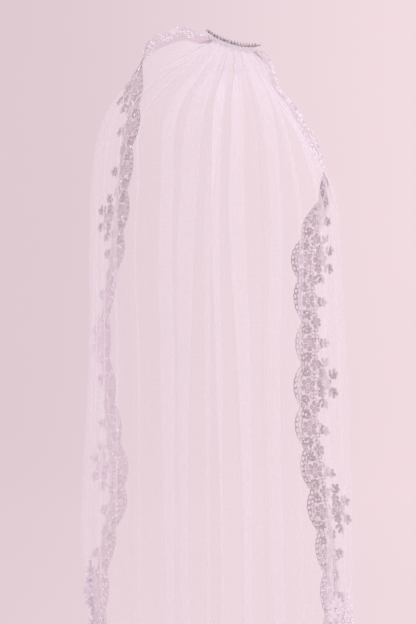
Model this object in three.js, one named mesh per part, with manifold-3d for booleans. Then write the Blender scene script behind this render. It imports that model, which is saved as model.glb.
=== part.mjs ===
// Lace-edged bridal veil, one tier of tulle gathered on a curved wire comb and draped over one shoulder.
// Millimetres. +Z is up, +X is towards the wearer's front, and -Y is the side of the draped shoulder.
// The origin is the middle of the comb's spine, where the veil is pinned on.

import * as THREE from "three";
import { mergeVertices } from "three/addons/utils/BufferGeometryUtils.js";
import Module from "manifold-3d";

// Driving dimensions
const CLOTH_THICKNESS = 1.2;
const SEAM_GAP = 0.3;
const COLUMNS_PER_FOLD = 2;
const COLUMNS_PER_SIDE = 5;
const LEVELS_PER_SECTION = 2;
const HEM_TOP_HEIGHT = -795;
const HEM_LACE_DEPTH = 27;
const SCALLOP_DEPTH = 9;
const SIDE_SCALLOP_ROWS = 3;
const HEM_SCALLOP_COLUMNS = 3;
const LACE_OPENING_SHARE = 0.52;
const SIDE_LACE_CELLS = 3;
const SIDE_ROWS_PER_LEVEL = 3;

const COMB_SPINE_RADIUS = 1.4;
const COMB_TIP_RADIUS = 0.7;
const COMB_SPINE_SIDES = 6;
const COMB_SPINE_STEPS = 22;
const COMB_TOOTH_COUNT = 18;
const COMB_TOOTH_LENGTH = 30;
const COMB_TOOTH_RADIUS = 0.6;
const COMB_TOOTH_RISE = 4;
const COMB_TOOTH_BOW = 2.5;
const COMB_TOOTH_SIDES = 5;
const COMB_TOOTH_STEPS = 4;
const COMB_TOOTH_FROM = 0.05;
const COMB_TOOTH_TO = 0.9;
const COMB_TIP_SHARE = 0.12;

const HEADING_STEPS = 40;
const HEADING_SIDES = 6;
const HEADING_HALF_DEPTH = 2.6;
const HEADING_HALF_HEIGHT = 4.2;
const HEADING_GATHER = 0.7;
const HEADING_GATHERS = 13;
const GATHER_HEIGHT_SHARE = 0.6;
const HEADING_FROM = 0.03;
const HEADING_TO = 0.95;
const HEADING_END_SHARE = 0.16;

// The comb's spine, from the end at the wearer's back to the raised tip at the front
const COMB_SPINE = [
  { x: -35, y: 11, z: 18 },
  { x: -25, y: 5, z: 11 },
  { x: -13, y: 1, z: 5 },
  { x: 0, y: 0, z: 0 },
  { x: 13, y: 1, z: -3 },
  { x: 27, y: 5, z: -4 },
  { x: 39, y: 11, z: -2 },
];

// Sections of the drape below the comb, down to the hem.
// near is the height of the side over the shoulder and nearY how far it stands out towards -Y.
// left and right are the silhouette folds, with their own heights and their shared depth foldY.
// backEdge and frontEdge are the two free edges, as x, y and z, turned in behind the folds.
// backLace and frontLace are the widths of the lace border there, wider where a spray of flowers grows in.
const SECTIONS = [
  { near: -31, nearY: -34, left: -63, leftZ: -3, right: 43, rightZ: -28, foldY: -9,
    backEdge: [-71, 18, 19], frontEdge: [50, 8, -25], backLace: 26, frontLace: 12 },
  { near: -44, nearY: -82, left: -107, leftZ: -23, right: 54, rightZ: -63, foldY: -14,
    backEdge: [-112, 24, -1], frontEdge: [63, 4, -61], backLace: 30, frontLace: 15 },
  { near: -73, nearY: -120, left: -138, leftZ: -55, right: 84, rightZ: -109, foldY: -26,
    backEdge: [-122, 38, -31], frontEdge: [96, -4, -105], backLace: 28, frontLace: 19 },
  { near: -125, nearY: -142, left: -168, leftZ: -103, right: 116, rightZ: -163, foldY: -36,
    backEdge: [-126, 42, -83], frontEdge: [122, -6, -159], backLace: 42, frontLace: 25 },
  { near: -187, nearY: -151, left: -181, leftZ: -175, right: 136, rightZ: -207, foldY: -44,
    backEdge: [-138, 36, -158], frontEdge: [119, -6, -203], backLace: 40, frontLace: 24 },
  { near: -277, nearY: -156, left: -184, leftZ: -275, right: 140, rightZ: -281, foldY: -48,
    backEdge: [-149, 29, -271], frontEdge: [88, -4, -277], backLace: 25, frontLace: 30 },
  { near: -383, nearY: -159, left: -185, leftZ: -383, right: 147, rightZ: -383, foldY: -50,
    backEdge: [-167, 22, -383], frontEdge: [93, -6, -383], backLace: 30, frontLace: 26 },
  { near: -493, nearY: -161, left: -189, leftZ: -493, right: 152, rightZ: -493, foldY: -50,
    backEdge: [-157, 17, -493], frontEdge: [91, -8, -493], backLace: 36, frontLace: 34 },
  { near: -603, nearY: -163, left: -195, leftZ: -603, right: 157, rightZ: -603, foldY: -51,
    backEdge: [-145, 12, -603], frontEdge: [105, -12, -603], backLace: 40, frontLace: 36 },
  { near: -703, nearY: -165, left: -196, leftZ: -703, right: 160, rightZ: -703, foldY: -52,
    backEdge: [-167, 6, -703], frontEdge: [123, -16, -703], backLace: 32, frontLace: 30 },
  { near: HEM_TOP_HEIGHT, nearY: -167, left: -189, leftZ: HEM_TOP_HEIGHT, right: 159,
    rightZ: HEM_TOP_HEIGHT, foldY: -54, backEdge: [-173, 0, HEM_TOP_HEIGHT],
    frontEdge: [129, -20, HEM_TOP_HEIGHT], backLace: 28, frontLace: 28 },
];
const LACE_AT_COMB = { backLace: 7, frontLace: 5 };

// How square the cloth hangs round the shoulder: 1 is an ellipse and less is fuller at its corners
const SIDE_ROUNDNESS = 0.8;
// Where the seven lines of a section leave the comb, as shares of its length
const LINES_ALONG_COMB = [0.02, 0.14, 0.32, 0.5, 0.68, 0.86, 0.97];

// Long folds on the side over the shoulder, by turns a crest and a furrow: where each line runs, as x at five
// heights, and how far the cloth stands out there. They fan out from the comb and hang almost straight below
// the shoulder.
const FOLD_HEIGHTS = { comb: -10, shoulder: -83, chest: -203, waist: -433, hem: -803 };
const FOLDS = [
  { comb: -27, shoulder: -111, chest: -133, waist: -132, hem: -133, rise: 5 },
  { comb: -24, shoulder: -97, chest: -113, waist: -111, hem: -109, rise: -4 },
  { comb: -21, shoulder: -82, chest: -95, waist: -91, hem: -87, rise: 8 },
  { comb: -17, shoulder: -67, chest: -81, waist: -81, hem: -77, rise: -6 },
  { comb: -14, shoulder: -53, chest: -67, waist: -71, hem: -66, rise: 8 },
  { comb: -10, shoulder: -41, chest: -55, waist: -58, hem: -55, rise: -6 },
  { comb: -7, shoulder: -29, chest: -43, waist: -45, hem: -44, rise: 8 },
  { comb: -4, shoulder: -17, chest: -25, waist: -24, hem: -22, rise: -7 },
  { comb: 0, shoulder: -6, chest: -8, waist: -3, hem: 0, rise: 9 },
  { comb: 3, shoulder: 5, chest: 4, waist: 11, hem: 17, rise: -6 },
  { comb: 7, shoulder: 16, chest: 16, waist: 25, hem: 33, rise: 9 },
  { comb: 10, shoulder: 25, chest: 31, waist: 35, hem: 43, rise: -7 },
  { comb: 13, shoulder: 34, chest: 46, waist: 46, hem: 54, rise: 8 },
  { comb: 17, shoulder: 42, chest: 59, waist: 58, hem: 67, rise: -7 },
  { comb: 20, shoulder: 50, chest: 73, waist: 72, hem: 81, rise: 9 },
  { comb: 24, shoulder: 60, chest: 89, waist: 93, hem: 101, rise: -5 },
  { comb: 27, shoulder: 70, chest: 105, waist: 115, hem: 121, rise: 6 },
];
const FOLD_SHARE_AT_COMB = 0.15;
const FULL_FOLD_HEIGHT = -100;

// The runs of tulle, from the back edge round to the front edge
const TULLE_RUNS = ["tulle_back_fall", "tulle_rear_side", "tulle_fore_side", "tulle_front_fall"];

// Fineness of the measuring along a section
const LENGTH_STEPS_PER_POINT = 70;
const HALVINGS = 24;

const COLOURS = { tulle: 0xf2e6ea, lace: 0xf6eff2, heading: 0xf3e9ed, comb: 0x6d6670 };

/** Smooth curve through points given as {x, y, z} rows. */
function curveThrough(rows) {
  return new THREE.CatmullRomCurve3(rows.map((row) => new THREE.Vector3(row.x, row.y, row.z)));
}

const combSpine = curveThrough(COMB_SPINE);
const HEADING_DROP = COMB_SPINE_RADIUS + SEAM_GAP + HEADING_HALF_HEIGHT + HEADING_GATHER * GATHER_HEIGHT_SHARE;

/** Level direction that leaves the cloth on its outer side, for a line that runs this way. */
function outwardOf(tangent) {
  return new THREE.Vector3(tangent.y, -tangent.x, 0).normalize();
}

/** Value of a monotone table between its rows: at(key) for keys that rise from row to row. */
function interpolate(keys, values, key) {
  if (key <= keys[0]) {
    return values[0];
  }
  for (let row = 1; row < keys.length; row += 1) {
    if (key <= keys[row]) {
      const share = (key - keys[row - 1]) / (keys[row] - keys[row - 1]);
      return THREE.MathUtils.lerp(values[row - 1], values[row], share);
    }
  }
  return values[values.length - 1];
}

const foldHeights = Object.values(FOLD_HEIGHTS).map((height) => -height);

/** Where each fold line crosses a height, as x, from the back to the front. */
function foldLinesAt(height) {
  return FOLDS.map((fold) => {
    const places = Object.keys(FOLD_HEIGHTS).map((level) => fold[level]);
    return interpolate(foldHeights, places, -height);
  });
}

/** The seven points that one section's curve runs through, from the back edge round to the front edge. */
function sectionPoints(row) {
  const middle = (row.left + row.right) / 2;
  const half = (row.right - row.left) / 2;
  const onSide = (turn, sideZ) => {
    const out = Math.sin(turn) ** SIDE_ROUNDNESS;
    const across = Math.sign(Math.cos(turn)) * Math.abs(Math.cos(turn)) ** SIDE_ROUNDNESS;
    return new THREE.Vector3(
      middle + half * across,
      row.foldY + (row.nearY - row.foldY) * out,
      sideZ + (row.near - sideZ) * out,
    );
  };
  return [
    new THREE.Vector3(...row.backEdge),
    new THREE.Vector3(row.left, row.foldY, row.leftZ),
    onSide(Math.PI * 0.75, row.leftZ),
    onSide(Math.PI * 0.5, row.leftZ),
    onSide(Math.PI * 0.25, row.rightZ),
    new THREE.Vector3(row.right, row.foldY, row.rightZ),
    new THREE.Vector3(...row.frontEdge),
  ];
}

/** The seven points of the top of the cloth, tight along the comb's heading. */
function combPoints() {
  return LINES_ALONG_COMB.map((share) => {
    const outward = outwardOf(combSpine.getTangentAt(share));
    const point = combSpine.getPointAt(share);
    point.z -= HEADING_DROP + CLOTH_THICKNESS;
    return point.addScaledVector(outward, HEADING_HALF_DEPTH + HEADING_GATHER + SEAM_GAP + CLOTH_THICKNESS);
  });
}

/** One level of the drape: its curve by length, with the long folds added, and its lace widths. */
class Level {
  constructor(points, backLace, frontLace) {
    this.curve = new THREE.CatmullRomCurve3(points, false, "centripetal");
    this.curve.arcLengthDivisions = LENGTH_STEPS_PER_POINT * (points.length - 1);
    this.length = this.curve.getLength();
    const lengths = this.curve.getLengths();
    this.backFold = lengths[LENGTH_STEPS_PER_POINT];
    this.frontFold = lengths[LENGTH_STEPS_PER_POINT * (points.length - 2)];
    this.backLace = backLace;
    this.frontLace = frontLace;
    const middleHeight = points[3].z;
    const grown = THREE.MathUtils.smoothstep(middleHeight, FULL_FOLD_HEIGHT, 0);
    this.foldShare = THREE.MathUtils.lerp(1, FOLD_SHARE_AT_COMB, grown);
    const lines = foldLinesAt(middleHeight).map((x) => this.distanceAt(x));
    this.folds = [this.backFold, ...lines, this.frontFold];
  }

  /** Distance from the back edge at which the side over the shoulder reaches an x. */
  distanceAt(x) {
    let low = this.backFold;
    let high = this.frontFold;
    for (let step = 0; step < HALVINGS; step += 1) {
      const middle = (low + high) / 2;
      const isShort = this.curve.getPointAt(middle / this.length).x < x;
      low = isShort ? middle : low;
      high = isShort ? high : middle;
    }
    return low;
  }

  /** How far the long folds make the cloth stand out at a distance from the back edge. */
  rise(distance) {
    const rises = [0, ...FOLDS.map((fold) => fold.rise), 0];
    const after = this.folds.findIndex((place) => place > distance);
    if (after < 1) {
      return 0;
    }
    const share = (distance - this.folds[after - 1]) / (this.folds[after] - this.folds[after - 1]);
    const eased = (1 - Math.cos(share * Math.PI)) / 2;
    return this.foldShare * THREE.MathUtils.lerp(rises[after - 1], rises[after], eased);
  }

  /** Point at a distance from the back edge, beyond an edge too. */
  point(distance) {
    const inside = THREE.MathUtils.clamp(distance, 0, this.length);
    const tangent = this.curve.getTangentAt(inside / this.length);
    const point = this.curve.getPointAt(inside / this.length);
    point.addScaledVector(outwardOf(tangent), this.rise(inside));
    return point.addScaledVector(tangent, distance - inside);
  }

  /** Distances of the drape's columns: even round the two sides, and set by the folds between them. */
  columns() {
    const from = this.backLace + SEAM_GAP / 2;
    const to = this.length - this.frontLace - SEAM_GAP / 2;
    const stops = [from, ...this.folds, to];
    return stops.flatMap((stop, index) => {
      if (index === stops.length - 1) {
        return [stop];
      }
      const isSide = index < 2 || index > stops.length - 4;
      const count = isSide ? COLUMNS_PER_SIDE : COLUMNS_PER_FOLD;
      return Array.from({ length: count }, (_, step) =>
        THREE.MathUtils.lerp(stop, stops[index + 1], step / count));
    });
  }
}

/** Levels at the table's rows and between them, with the hem's levels last. */
function makeLevels() {
  const rows = [combPoints(), ...SECTIONS.map(sectionPoints)];
  const laces = [LACE_AT_COMB, ...SECTIONS];
  const alongRows = rows[0].map((_, line) => new THREE.CatmullRomCurve3(rows.map((row) => row[line])));
  const last = (rows.length - 1) * LEVELS_PER_SECTION;
  const made = Array.from({ length: last + 1 }, (_, level) => {
    const place = level / LEVELS_PER_SECTION;
    const row = Math.min(Math.floor(place), rows.length - 2);
    const widths = ["backLace", "frontLace"].map((side) =>
      THREE.MathUtils.lerp(laces[row][side], laces[row + 1][side], place - row));
    return new Level(alongRows.map((curve) => curve.getPoint(level / last)), ...widths);
  });
  const lowest = made[last];
  const hem = [0.5, 1].map((share) => {
    const points = rows[rows.length - 1].map((point) =>
      point.clone().setZ(HEM_TOP_HEIGHT - HEM_LACE_DEPTH * share));
    return new Level(points, lowest.backLace, lowest.frontLace);
  });
  return [...made, ...hem];
}

const levels = makeLevels();
const drapeRows = levels.length - 3;
const drapeColumns = levels[0].columns().length - 1;

/** Direction out of the cloth at a level and distance. */
function outOfCloth(level, distance) {
  const here = levels[level];
  const share = distance / here.length;
  const across = here.point(distance + 1).sub(here.point(distance - 1));
  const above = levels[Math.max(level - 1, 0)];
  const below = levels[Math.min(level + 1, levels.length - 1)];
  const down = below.point(share * below.length).sub(above.point(share * above.length));
  return across.cross(down).normalize().negate();
}

/** A point on one face of the cloth, side +1 outside and -1 inside. */
function onFace(level, distance, side) {
  const point = levels[level].point(distance);
  return point.addScaledVector(outOfCloth(level, distance), (side * CLOTH_THICKNESS) / 2);
}

/** Closed BufferGeometry from points and triangles, turned so that its faces point out. */
function closedGeometry(points, triangles) {
  let volume = 0;
  const triple = new THREE.Vector3();
  for (const [a, b, c] of triangles) {
    volume += points[a].dot(triple.crossVectors(points[b], points[c]));
  }
  const faces = volume > 0 ? triangles : triangles.map(([a, b, c]) => [a, c, b]);
  const geometry = new THREE.BufferGeometry();
  geometry.setAttribute("position", new THREE.Float32BufferAttribute(points.flatMap((p) => p.toArray()), 3));
  geometry.setIndex(faces.flat());
  return geometry;
}

/**
 * A closed wall over a grid of cells. corner(column, row, side) gives a point of its two faces,
 * and a cell that pierced(column, row) names is cut through by a smaller opening of the same form.
 */
function gridWall(columns, rows, corner, pierced = () => false) {
  const points = [];
  const triangles = [];
  const add = (point) => points.push(point) - 1;
  const quad = (a, b, c, d) => triangles.push([a, b, c], [a, c, d]);
  const faces = [1, -1].map((side) =>
    Array.from({ length: columns + 1 }, (_, column) =>
      Array.from({ length: rows + 1 }, (__, row) => add(corner(column, row, side)))));
  const [front, back] = faces;
  const around = (face, column, row) =>
    [face[column][row], face[column + 1][row], face[column + 1][row + 1], face[column][row + 1]];
  for (let column = 0; column < columns; column += 1) {
    for (let row = 0; row < rows; row += 1) {
      const rings = faces.map((face) => around(face, column, row));
      if (!pierced(column, row)) {
        quad(...rings[0]);
        quad(...rings[1].toReversed());
        continue;
      }
      const holes = rings.map((ring) => {
        const centre = ring.reduce((sum, index) => sum.add(points[index]), new THREE.Vector3()).divideScalar(4);
        return ring.map((index) => add(centre.clone().lerp(points[index], LACE_OPENING_SHARE)));
      });
      for (let side = 0; side < 4; side += 1) {
        const next = (side + 1) % 4;
        quad(rings[0][side], rings[0][next], holes[0][next], holes[0][side]);
        quad(rings[1][next], rings[1][side], holes[1][side], holes[1][next]);
        quad(holes[0][side], holes[0][next], holes[1][next], holes[1][side]);
      }
    }
  }
  for (let column = 0; column < columns; column += 1) {
    quad(front[column + 1][0], front[column][0], back[column][0], back[column + 1][0]);
    quad(front[column][rows], front[column + 1][rows], back[column + 1][rows], back[column][rows]);
  }
  for (let row = 0; row < rows; row += 1) {
    quad(front[0][row], front[0][row + 1], back[0][row + 1], back[0][row]);
    quad(front[columns][row + 1], front[columns][row], back[columns][row], back[columns][row + 1]);
  }
  return closedGeometry(points, triangles);
}

/** A closed tube through rings of points, with flat ends. */
function ringTube(rings) {
  const points = rings.flat();
  const sides = rings[0].length;
  const triangles = [];
  for (let ring = 0; ring < rings.length - 1; ring += 1) {
    for (let side = 0; side < sides; side += 1) {
      const a = ring * sides + side;
      const b = ring * sides + ((side + 1) % sides);
      triangles.push([a, b, b + sides], [a, b + sides, a + sides]);
    }
  }
  const lastRing = (rings.length - 1) * sides;
  for (let side = 1; side < sides - 1; side += 1) {
    triangles.push([0, side + 1, side], [lastRing, lastRing + side, lastRing + side + 1]);
  }
  return closedGeometry(points, triangles);
}

/** A ring of points round a centre, in the plane of two directions, with a radius along each. It starts at the
 * second direction, so that a corner lies there. */
function ringAround(centre, firstWay, firstRadius, secondWay, secondRadius, sides) {
  return Array.from({ length: sides }, (_, side) => {
    const turn = (side / sides + 0.25) * Math.PI * 2;
    return centre.clone()
      .addScaledVector(firstWay, Math.cos(turn) * firstRadius)
      .addScaledVector(secondWay, Math.sin(turn) * secondRadius);
  });
}

/** Rings of a round wire along a curve, with its own radius at each share of the way. */
function wireRings(curve, steps, sides, radiusAt) {
  return Array.from({ length: steps + 1 }, (_, step) => {
    const share = step / steps;
    const along = curve.getTangentAt(share);
    const firstWay = new THREE.Vector3(0, 0, 1).cross(along).normalize();
    const secondWay = along.clone().cross(firstWay).normalize();
    const radius = radiusAt(share);
    return ringAround(curve.getPointAt(share), firstWay, radius, secondWay, radius, sides);
  });
}

// Tulle runs: the sheer sheet inside the lace border, in four runs of cloth that meet edge to edge
function tulleRun(firstColumn, lastColumn) {
  const columns = levels.map((level) => level.columns());
  const corner = (step, row, side) => {
    const column = firstColumn + step;
    const opensAfter = column === firstColumn && firstColumn > 0;
    const opensBefore = column === lastColumn && lastColumn < drapeColumns;
    const seam = (Number(opensAfter) - Number(opensBefore)) * (SEAM_GAP / 2);
    return onFace(row, columns[row][column] + seam, side);
  };
  return gridWall(lastColumn - firstColumn, drapeRows, corner);
}

/** Columns at which the four runs of tulle begin and end: on the outermost crests and the middle one. */
function runColumns() {
  const toFirstFold = 2 * COLUMNS_PER_SIDE;
  const toMiddleFold = toFirstFold + ((FOLDS.length - 1) / 2) * COLUMNS_PER_FOLD;
  return [0, toFirstFold, toMiddleFold, drapeColumns - toFirstFold, drapeColumns];
}

/** How far a scallop stands out, as a share, at a step along the edge. */
function scallop(step, stepsPerScallop) {
  return Math.abs(Math.sin((step / stepsPerScallop) * Math.PI));
}

// Side lace borders: scalloped along the free edge, in steps that lie straight between the drape's levels
function sideLace(isFront) {
  const rows = (levels.length - 1) * SIDE_ROWS_PER_LEVEL;
  const atLevel = (level, cell, outward, side) => {
    const { length, backLace, frontLace } = levels[level];
    const width = isFront ? frontLace : backLace;
    const inner = width - SEAM_GAP / 2;
    const outer = -outward * Math.min(SCALLOP_DEPTH, width / 3);
    const fromEdge = THREE.MathUtils.lerp(outer, inner, cell / SIDE_LACE_CELLS);
    return onFace(level, isFront ? length - fromEdge : fromEdge, side);
  };
  const corner = (cell, row, side) => {
    const level = Math.min(Math.floor(row / SIDE_ROWS_PER_LEVEL), levels.length - 2);
    const share = row / SIDE_ROWS_PER_LEVEL - level;
    const outward = cell === 0 ? scallop(row, SIDE_SCALLOP_ROWS) : 0;
    return atLevel(level, cell, outward, side).lerp(atLevel(level + 1, cell, outward, side), share);
  };
  const pierced = (cell, row) => row > 2 && row % 2 === 1 && cell === (row % 4 === 1 ? 1 : 0);
  return gridWall(SIDE_LACE_CELLS, rows, corner, pierced);
}

// Hem lace: the same border below the drape, its lower edge scalloped
function hemLace() {
  const hemRows = levels.length - 1 - drapeRows;
  const columns = levels.map((level) => level.columns());
  const corner = (column, row, side) => {
    const level = drapeRows + row;
    const point = onFace(level, columns[level][column], side);
    if (row === 0) {
      point.z -= SEAM_GAP;
    }
    if (row === hemRows) {
      point.z -= SCALLOP_DEPTH * scallop(column, HEM_SCALLOP_COLUMNS);
    }
    return point;
  };
  const pierced = (column, row) => column % 2 === 1 && row === (column % 4 === 1 ? 0 : 1);
  return gridWall(drapeColumns, hemRows, corner, pierced);
}

// Gathered heading: the bunched, stitched top of the tulle, tight under the comb's spine
function gatheredHeading() {
  const up = new THREE.Vector3(0, 0, 1);
  const rings = Array.from({ length: HEADING_STEPS + 1 }, (_, step) => {
    const share = THREE.MathUtils.lerp(HEADING_FROM, HEADING_TO, step / HEADING_STEPS);
    const outward = outwardOf(combSpine.getTangentAt(share));
    const gather = HEADING_GATHER * Math.sin((step / HEADING_STEPS) * HEADING_GATHERS * Math.PI * 2);
    const fromEnd = THREE.MathUtils.lerp(HEADING_END_SHARE, 1 - HEADING_END_SHARE, step / HEADING_STEPS);
    const ease = Math.sin(Math.PI * fromEnd);
    const centre = combSpine.getPointAt(share).addScaledVector(up, -HEADING_DROP);
    return ringAround(centre, outward, (HEADING_HALF_DEPTH + gather) * ease, up,
      (HEADING_HALF_HEIGHT + gather * GATHER_HEIGHT_SHARE) * ease, HEADING_SIDES);
  });
  return ringTube(rings);
}

// Comb: a tapered wire spine with teeth that reach towards the wearer's head, soldered into one piece
async function veilComb() {
  const wasm = await Module();
  wasm.setup();
  const solid = (geometry) => {
    const merged = mergeVertices(geometry, 1e-3);
    return new wasm.Manifold(new wasm.Mesh({
      numProp: 3,
      vertProperties: new Float32Array(merged.attributes.position.array),
      triVerts: new Uint32Array(merged.index.array),
    }));
  };
  const spineRadius = (share) => {
    const toTip = Math.min(share, 1 - share) / COMB_TIP_SHARE;
    return THREE.MathUtils.lerp(COMB_TIP_RADIUS, COMB_SPINE_RADIUS, Math.min(toTip, 1));
  };
  let comb = solid(ringTube(wireRings(combSpine, COMB_SPINE_STEPS, COMB_SPINE_SIDES, spineRadius)));
  for (let tooth = 0; tooth < COMB_TOOTH_COUNT; tooth += 1) {
    const share = THREE.MathUtils.lerp(COMB_TOOTH_FROM, COMB_TOOTH_TO, tooth / (COMB_TOOTH_COUNT - 1));
    const root = combSpine.getPointAt(share);
    const reach = (length, rise) => root.clone().add(new THREE.Vector3(0, length, rise));
    const middle = reach(COMB_TOOTH_LENGTH / 2, COMB_TOOTH_RISE / 2 + COMB_TOOTH_BOW);
    const end = reach(COMB_TOOTH_LENGTH, COMB_TOOTH_RISE);
    const line = new THREE.CatmullRomCurve3([root, middle, end]);
    const wire = ringTube(wireRings(line, COMB_TOOTH_STEPS, COMB_TOOTH_SIDES, () => COMB_TOOTH_RADIUS));
    comb = comb.add(solid(wire));
  }
  const { vertProperties, triVerts } = comb.getMesh();
  const geometry = new THREE.BufferGeometry();
  geometry.setAttribute("position", new THREE.BufferAttribute(new Float32Array(vertProperties), 3));
  geometry.setIndex([...triVerts]);
  return geometry;
}

const fabric = (color, roughness) => new THREE.MeshStandardMaterial({ color, roughness, metalness: 0 });
const metal = (color, roughness) => new THREE.MeshStandardMaterial({ color, roughness, metalness: 1 });

const veil = new THREE.Group();

/** Adds one named piece to the veil. */
function addPiece(name, geometry, material) {
  const mesh = new THREE.Mesh(geometry, material);
  mesh.name = name;
  veil.add(mesh);
}

const runEnds = runColumns();
TULLE_RUNS.forEach((name, run) => {
  addPiece(name, tulleRun(runEnds[run], runEnds[run + 1]), fabric(COLOURS.tulle, 0.8));
});
addPiece("lace_border_back", sideLace(false), fabric(COLOURS.lace, 0.6));
addPiece("lace_border_front", sideLace(true), fabric(COLOURS.lace, 0.6));
addPiece("lace_border_hem", hemLace(), fabric(COLOURS.lace, 0.6));
addPiece("gathered_heading", gatheredHeading(), fabric(COLOURS.heading, 0.8));
addPiece("veil_comb", await veilComb(), metal(COLOURS.comb, 0.35));

export default veil;
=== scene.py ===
import logging
import math
from dataclasses import dataclass, field, replace
from enum import Enum

import bpy
import numpy as np
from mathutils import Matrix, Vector


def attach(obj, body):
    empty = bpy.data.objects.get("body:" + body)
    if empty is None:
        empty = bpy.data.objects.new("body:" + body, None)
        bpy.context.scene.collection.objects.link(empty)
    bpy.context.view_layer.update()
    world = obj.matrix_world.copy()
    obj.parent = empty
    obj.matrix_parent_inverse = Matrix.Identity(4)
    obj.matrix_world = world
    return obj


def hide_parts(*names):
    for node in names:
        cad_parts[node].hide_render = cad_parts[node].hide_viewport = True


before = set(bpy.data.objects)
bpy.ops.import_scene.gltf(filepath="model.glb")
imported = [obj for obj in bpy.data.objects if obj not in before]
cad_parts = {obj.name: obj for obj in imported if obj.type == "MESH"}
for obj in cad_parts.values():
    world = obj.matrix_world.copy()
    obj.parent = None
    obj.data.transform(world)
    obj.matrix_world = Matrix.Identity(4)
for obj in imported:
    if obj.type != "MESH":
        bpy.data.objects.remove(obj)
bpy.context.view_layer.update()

LOG = logging.getLogger("lace_veil")
MM = 0.001
BODY = "root"
SEED = 7


# Tables shared by the whole veil, in millimetres

@dataclass(frozen=True)
class Section:
    """One level of the drape: its near side, the two silhouette folds and the two free edges."""

    near: float
    near_y: float
    left: float
    left_z: float
    right: float
    right_z: float
    fold_y: float
    back_edge: tuple[float, float, float]
    front_edge: tuple[float, float, float]


@dataclass(frozen=True)
class Fold:
    """One crest (rise above 0) or furrow: its x at five heights, its rise and its lean."""

    comb: float
    shoulder: float
    chest: float
    waist: float
    hem: float
    rise: float
    lean: float


@dataclass(frozen=True)
class CornerFold:
    """One soft crest or furrow of a corner: its share of the way, its rise and its lean."""

    share: float
    rise: float
    lean: float


@dataclass(frozen=True)
class ClimbingSpray:
    """A tall spray of a lower corner: its run along the hem, from the far end if below 0, and its top."""

    run: float
    top: float


@dataclass(frozen=True)
class FlowerSize:
    """A lace flower's radius and its number of petals."""

    radius: float
    petals: int


@dataclass(frozen=True)
class SprigPair:
    """Two mirrored sprigs: their bases out and up from a flower, and their turn, length and bend."""

    across: float
    up: float
    turn: float
    length: float
    bend: float


# A place on a flat strip of lace, as run and reach
FlatPlace = tuple[float, float]

TULLE_RUNS = ("tulle_back_fall", "tulle_rear_side", "tulle_fore_side", "tulle_front_fall")
HEM_TOP = -795.0
HEM_BOTTOM = -830.0
# How far the cloth goes on past the curve's two ends, for the lace
LACE_REACH = 9.0
# The near side's section: 1 is an ellipse, and less is squarer
SIDE_ROUNDNESS = 0.8
# Where the drape's seven lines leave the comb, as shares of its length
LINES_ALONG_COMB = (0.02, 0.14, 0.32, 0.5, 0.68, 0.86, 0.97)
COMB_SPINE = ((-35, 11, 18), (-25, 5, 11), (-13, 1, 5), (0, 0, 0), (13, 1, -3), (27, 5, -4), (39, 11, -2))
SPINE_POINTS = 400
# The heading's middle hangs this far below the spine, and the cloth starts a little below and before it
HEADING_DROP = 6.3
CLOTH_BELOW_HEADING = 1.2
CLOTH_BEFORE_HEADING = 4.8

SECTIONS = (
    Section(near=-31, near_y=-34, left=-63, left_z=-3, right=43, right_z=-28, fold_y=-9,
            back_edge=(-71, 18, 19), front_edge=(50, 8, -25)),
    Section(near=-44, near_y=-82, left=-107, left_z=-23, right=54, right_z=-63, fold_y=-14,
            back_edge=(-112, 24, -1), front_edge=(63, 4, -61)),
    Section(near=-73, near_y=-120, left=-138, left_z=-55, right=84, right_z=-109, fold_y=-26,
            back_edge=(-122, 38, -31), front_edge=(96, -4, -105)),
    Section(near=-125, near_y=-142, left=-168, left_z=-103, right=116, right_z=-163, fold_y=-36,
            back_edge=(-126, 42, -83), front_edge=(122, -6, -159)),
    Section(near=-187, near_y=-151, left=-181, left_z=-175, right=136, right_z=-207, fold_y=-44,
            back_edge=(-138, 36, -158), front_edge=(119, -6, -203)),
    Section(near=-277, near_y=-156, left=-184, left_z=-275, right=140, right_z=-281, fold_y=-48,
            back_edge=(-149, 29, -271), front_edge=(88, -4, -277)),
    Section(near=-383, near_y=-159, left=-185, left_z=-383, right=147, right_z=-383, fold_y=-50,
            back_edge=(-167, 22, -383), front_edge=(93, -6, -383)),
    Section(near=-493, near_y=-161, left=-189, left_z=-493, right=152, right_z=-493, fold_y=-50,
            back_edge=(-157, 17, -493), front_edge=(91, -8, -493)),
    Section(near=-603, near_y=-163, left=-195, left_z=-603, right=157, right_z=-603, fold_y=-51,
            back_edge=(-145, 12, -603), front_edge=(105, -12, -603)),
    Section(near=-703, near_y=-165, left=-196, left_z=-703, right=160, right_z=-703, fold_y=-52,
            back_edge=(-167, 6, -703), front_edge=(123, -16, -703)),
    Section(near=HEM_TOP, near_y=-167, left=-189, left_z=HEM_TOP, right=159, right_z=HEM_TOP, fold_y=-54,
            back_edge=(-173, 0, HEM_TOP), front_edge=(129, -20, HEM_TOP)),
)

# Softer folds of the two rounded corners. Their shares run from back to front, between a silhouette fold
# and the nearest long fold
REAR_CORNER = (
    CornerFold(share=0.16, rise=3.5, lean=1.5),
    CornerFold(share=0.3, rise=-2.5, lean=1.4),
    CornerFold(share=0.46, rise=4.5, lean=2.3),
    CornerFold(share=0.6, rise=-3.5, lean=2.1),
    CornerFold(share=0.74, rise=5.0, lean=2.2),
    CornerFold(share=0.87, rise=-3.5, lean=1.9),
)
FORE_CORNER = (
    CornerFold(share=0.2, rise=-3.0, lean=1.2),
    CornerFold(share=0.42, rise=4.0, lean=1.8),
    CornerFold(share=0.62, rise=-3.0, lean=1.6),
    CornerFold(share=0.82, rise=3.5, lean=1.3),
)

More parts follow.
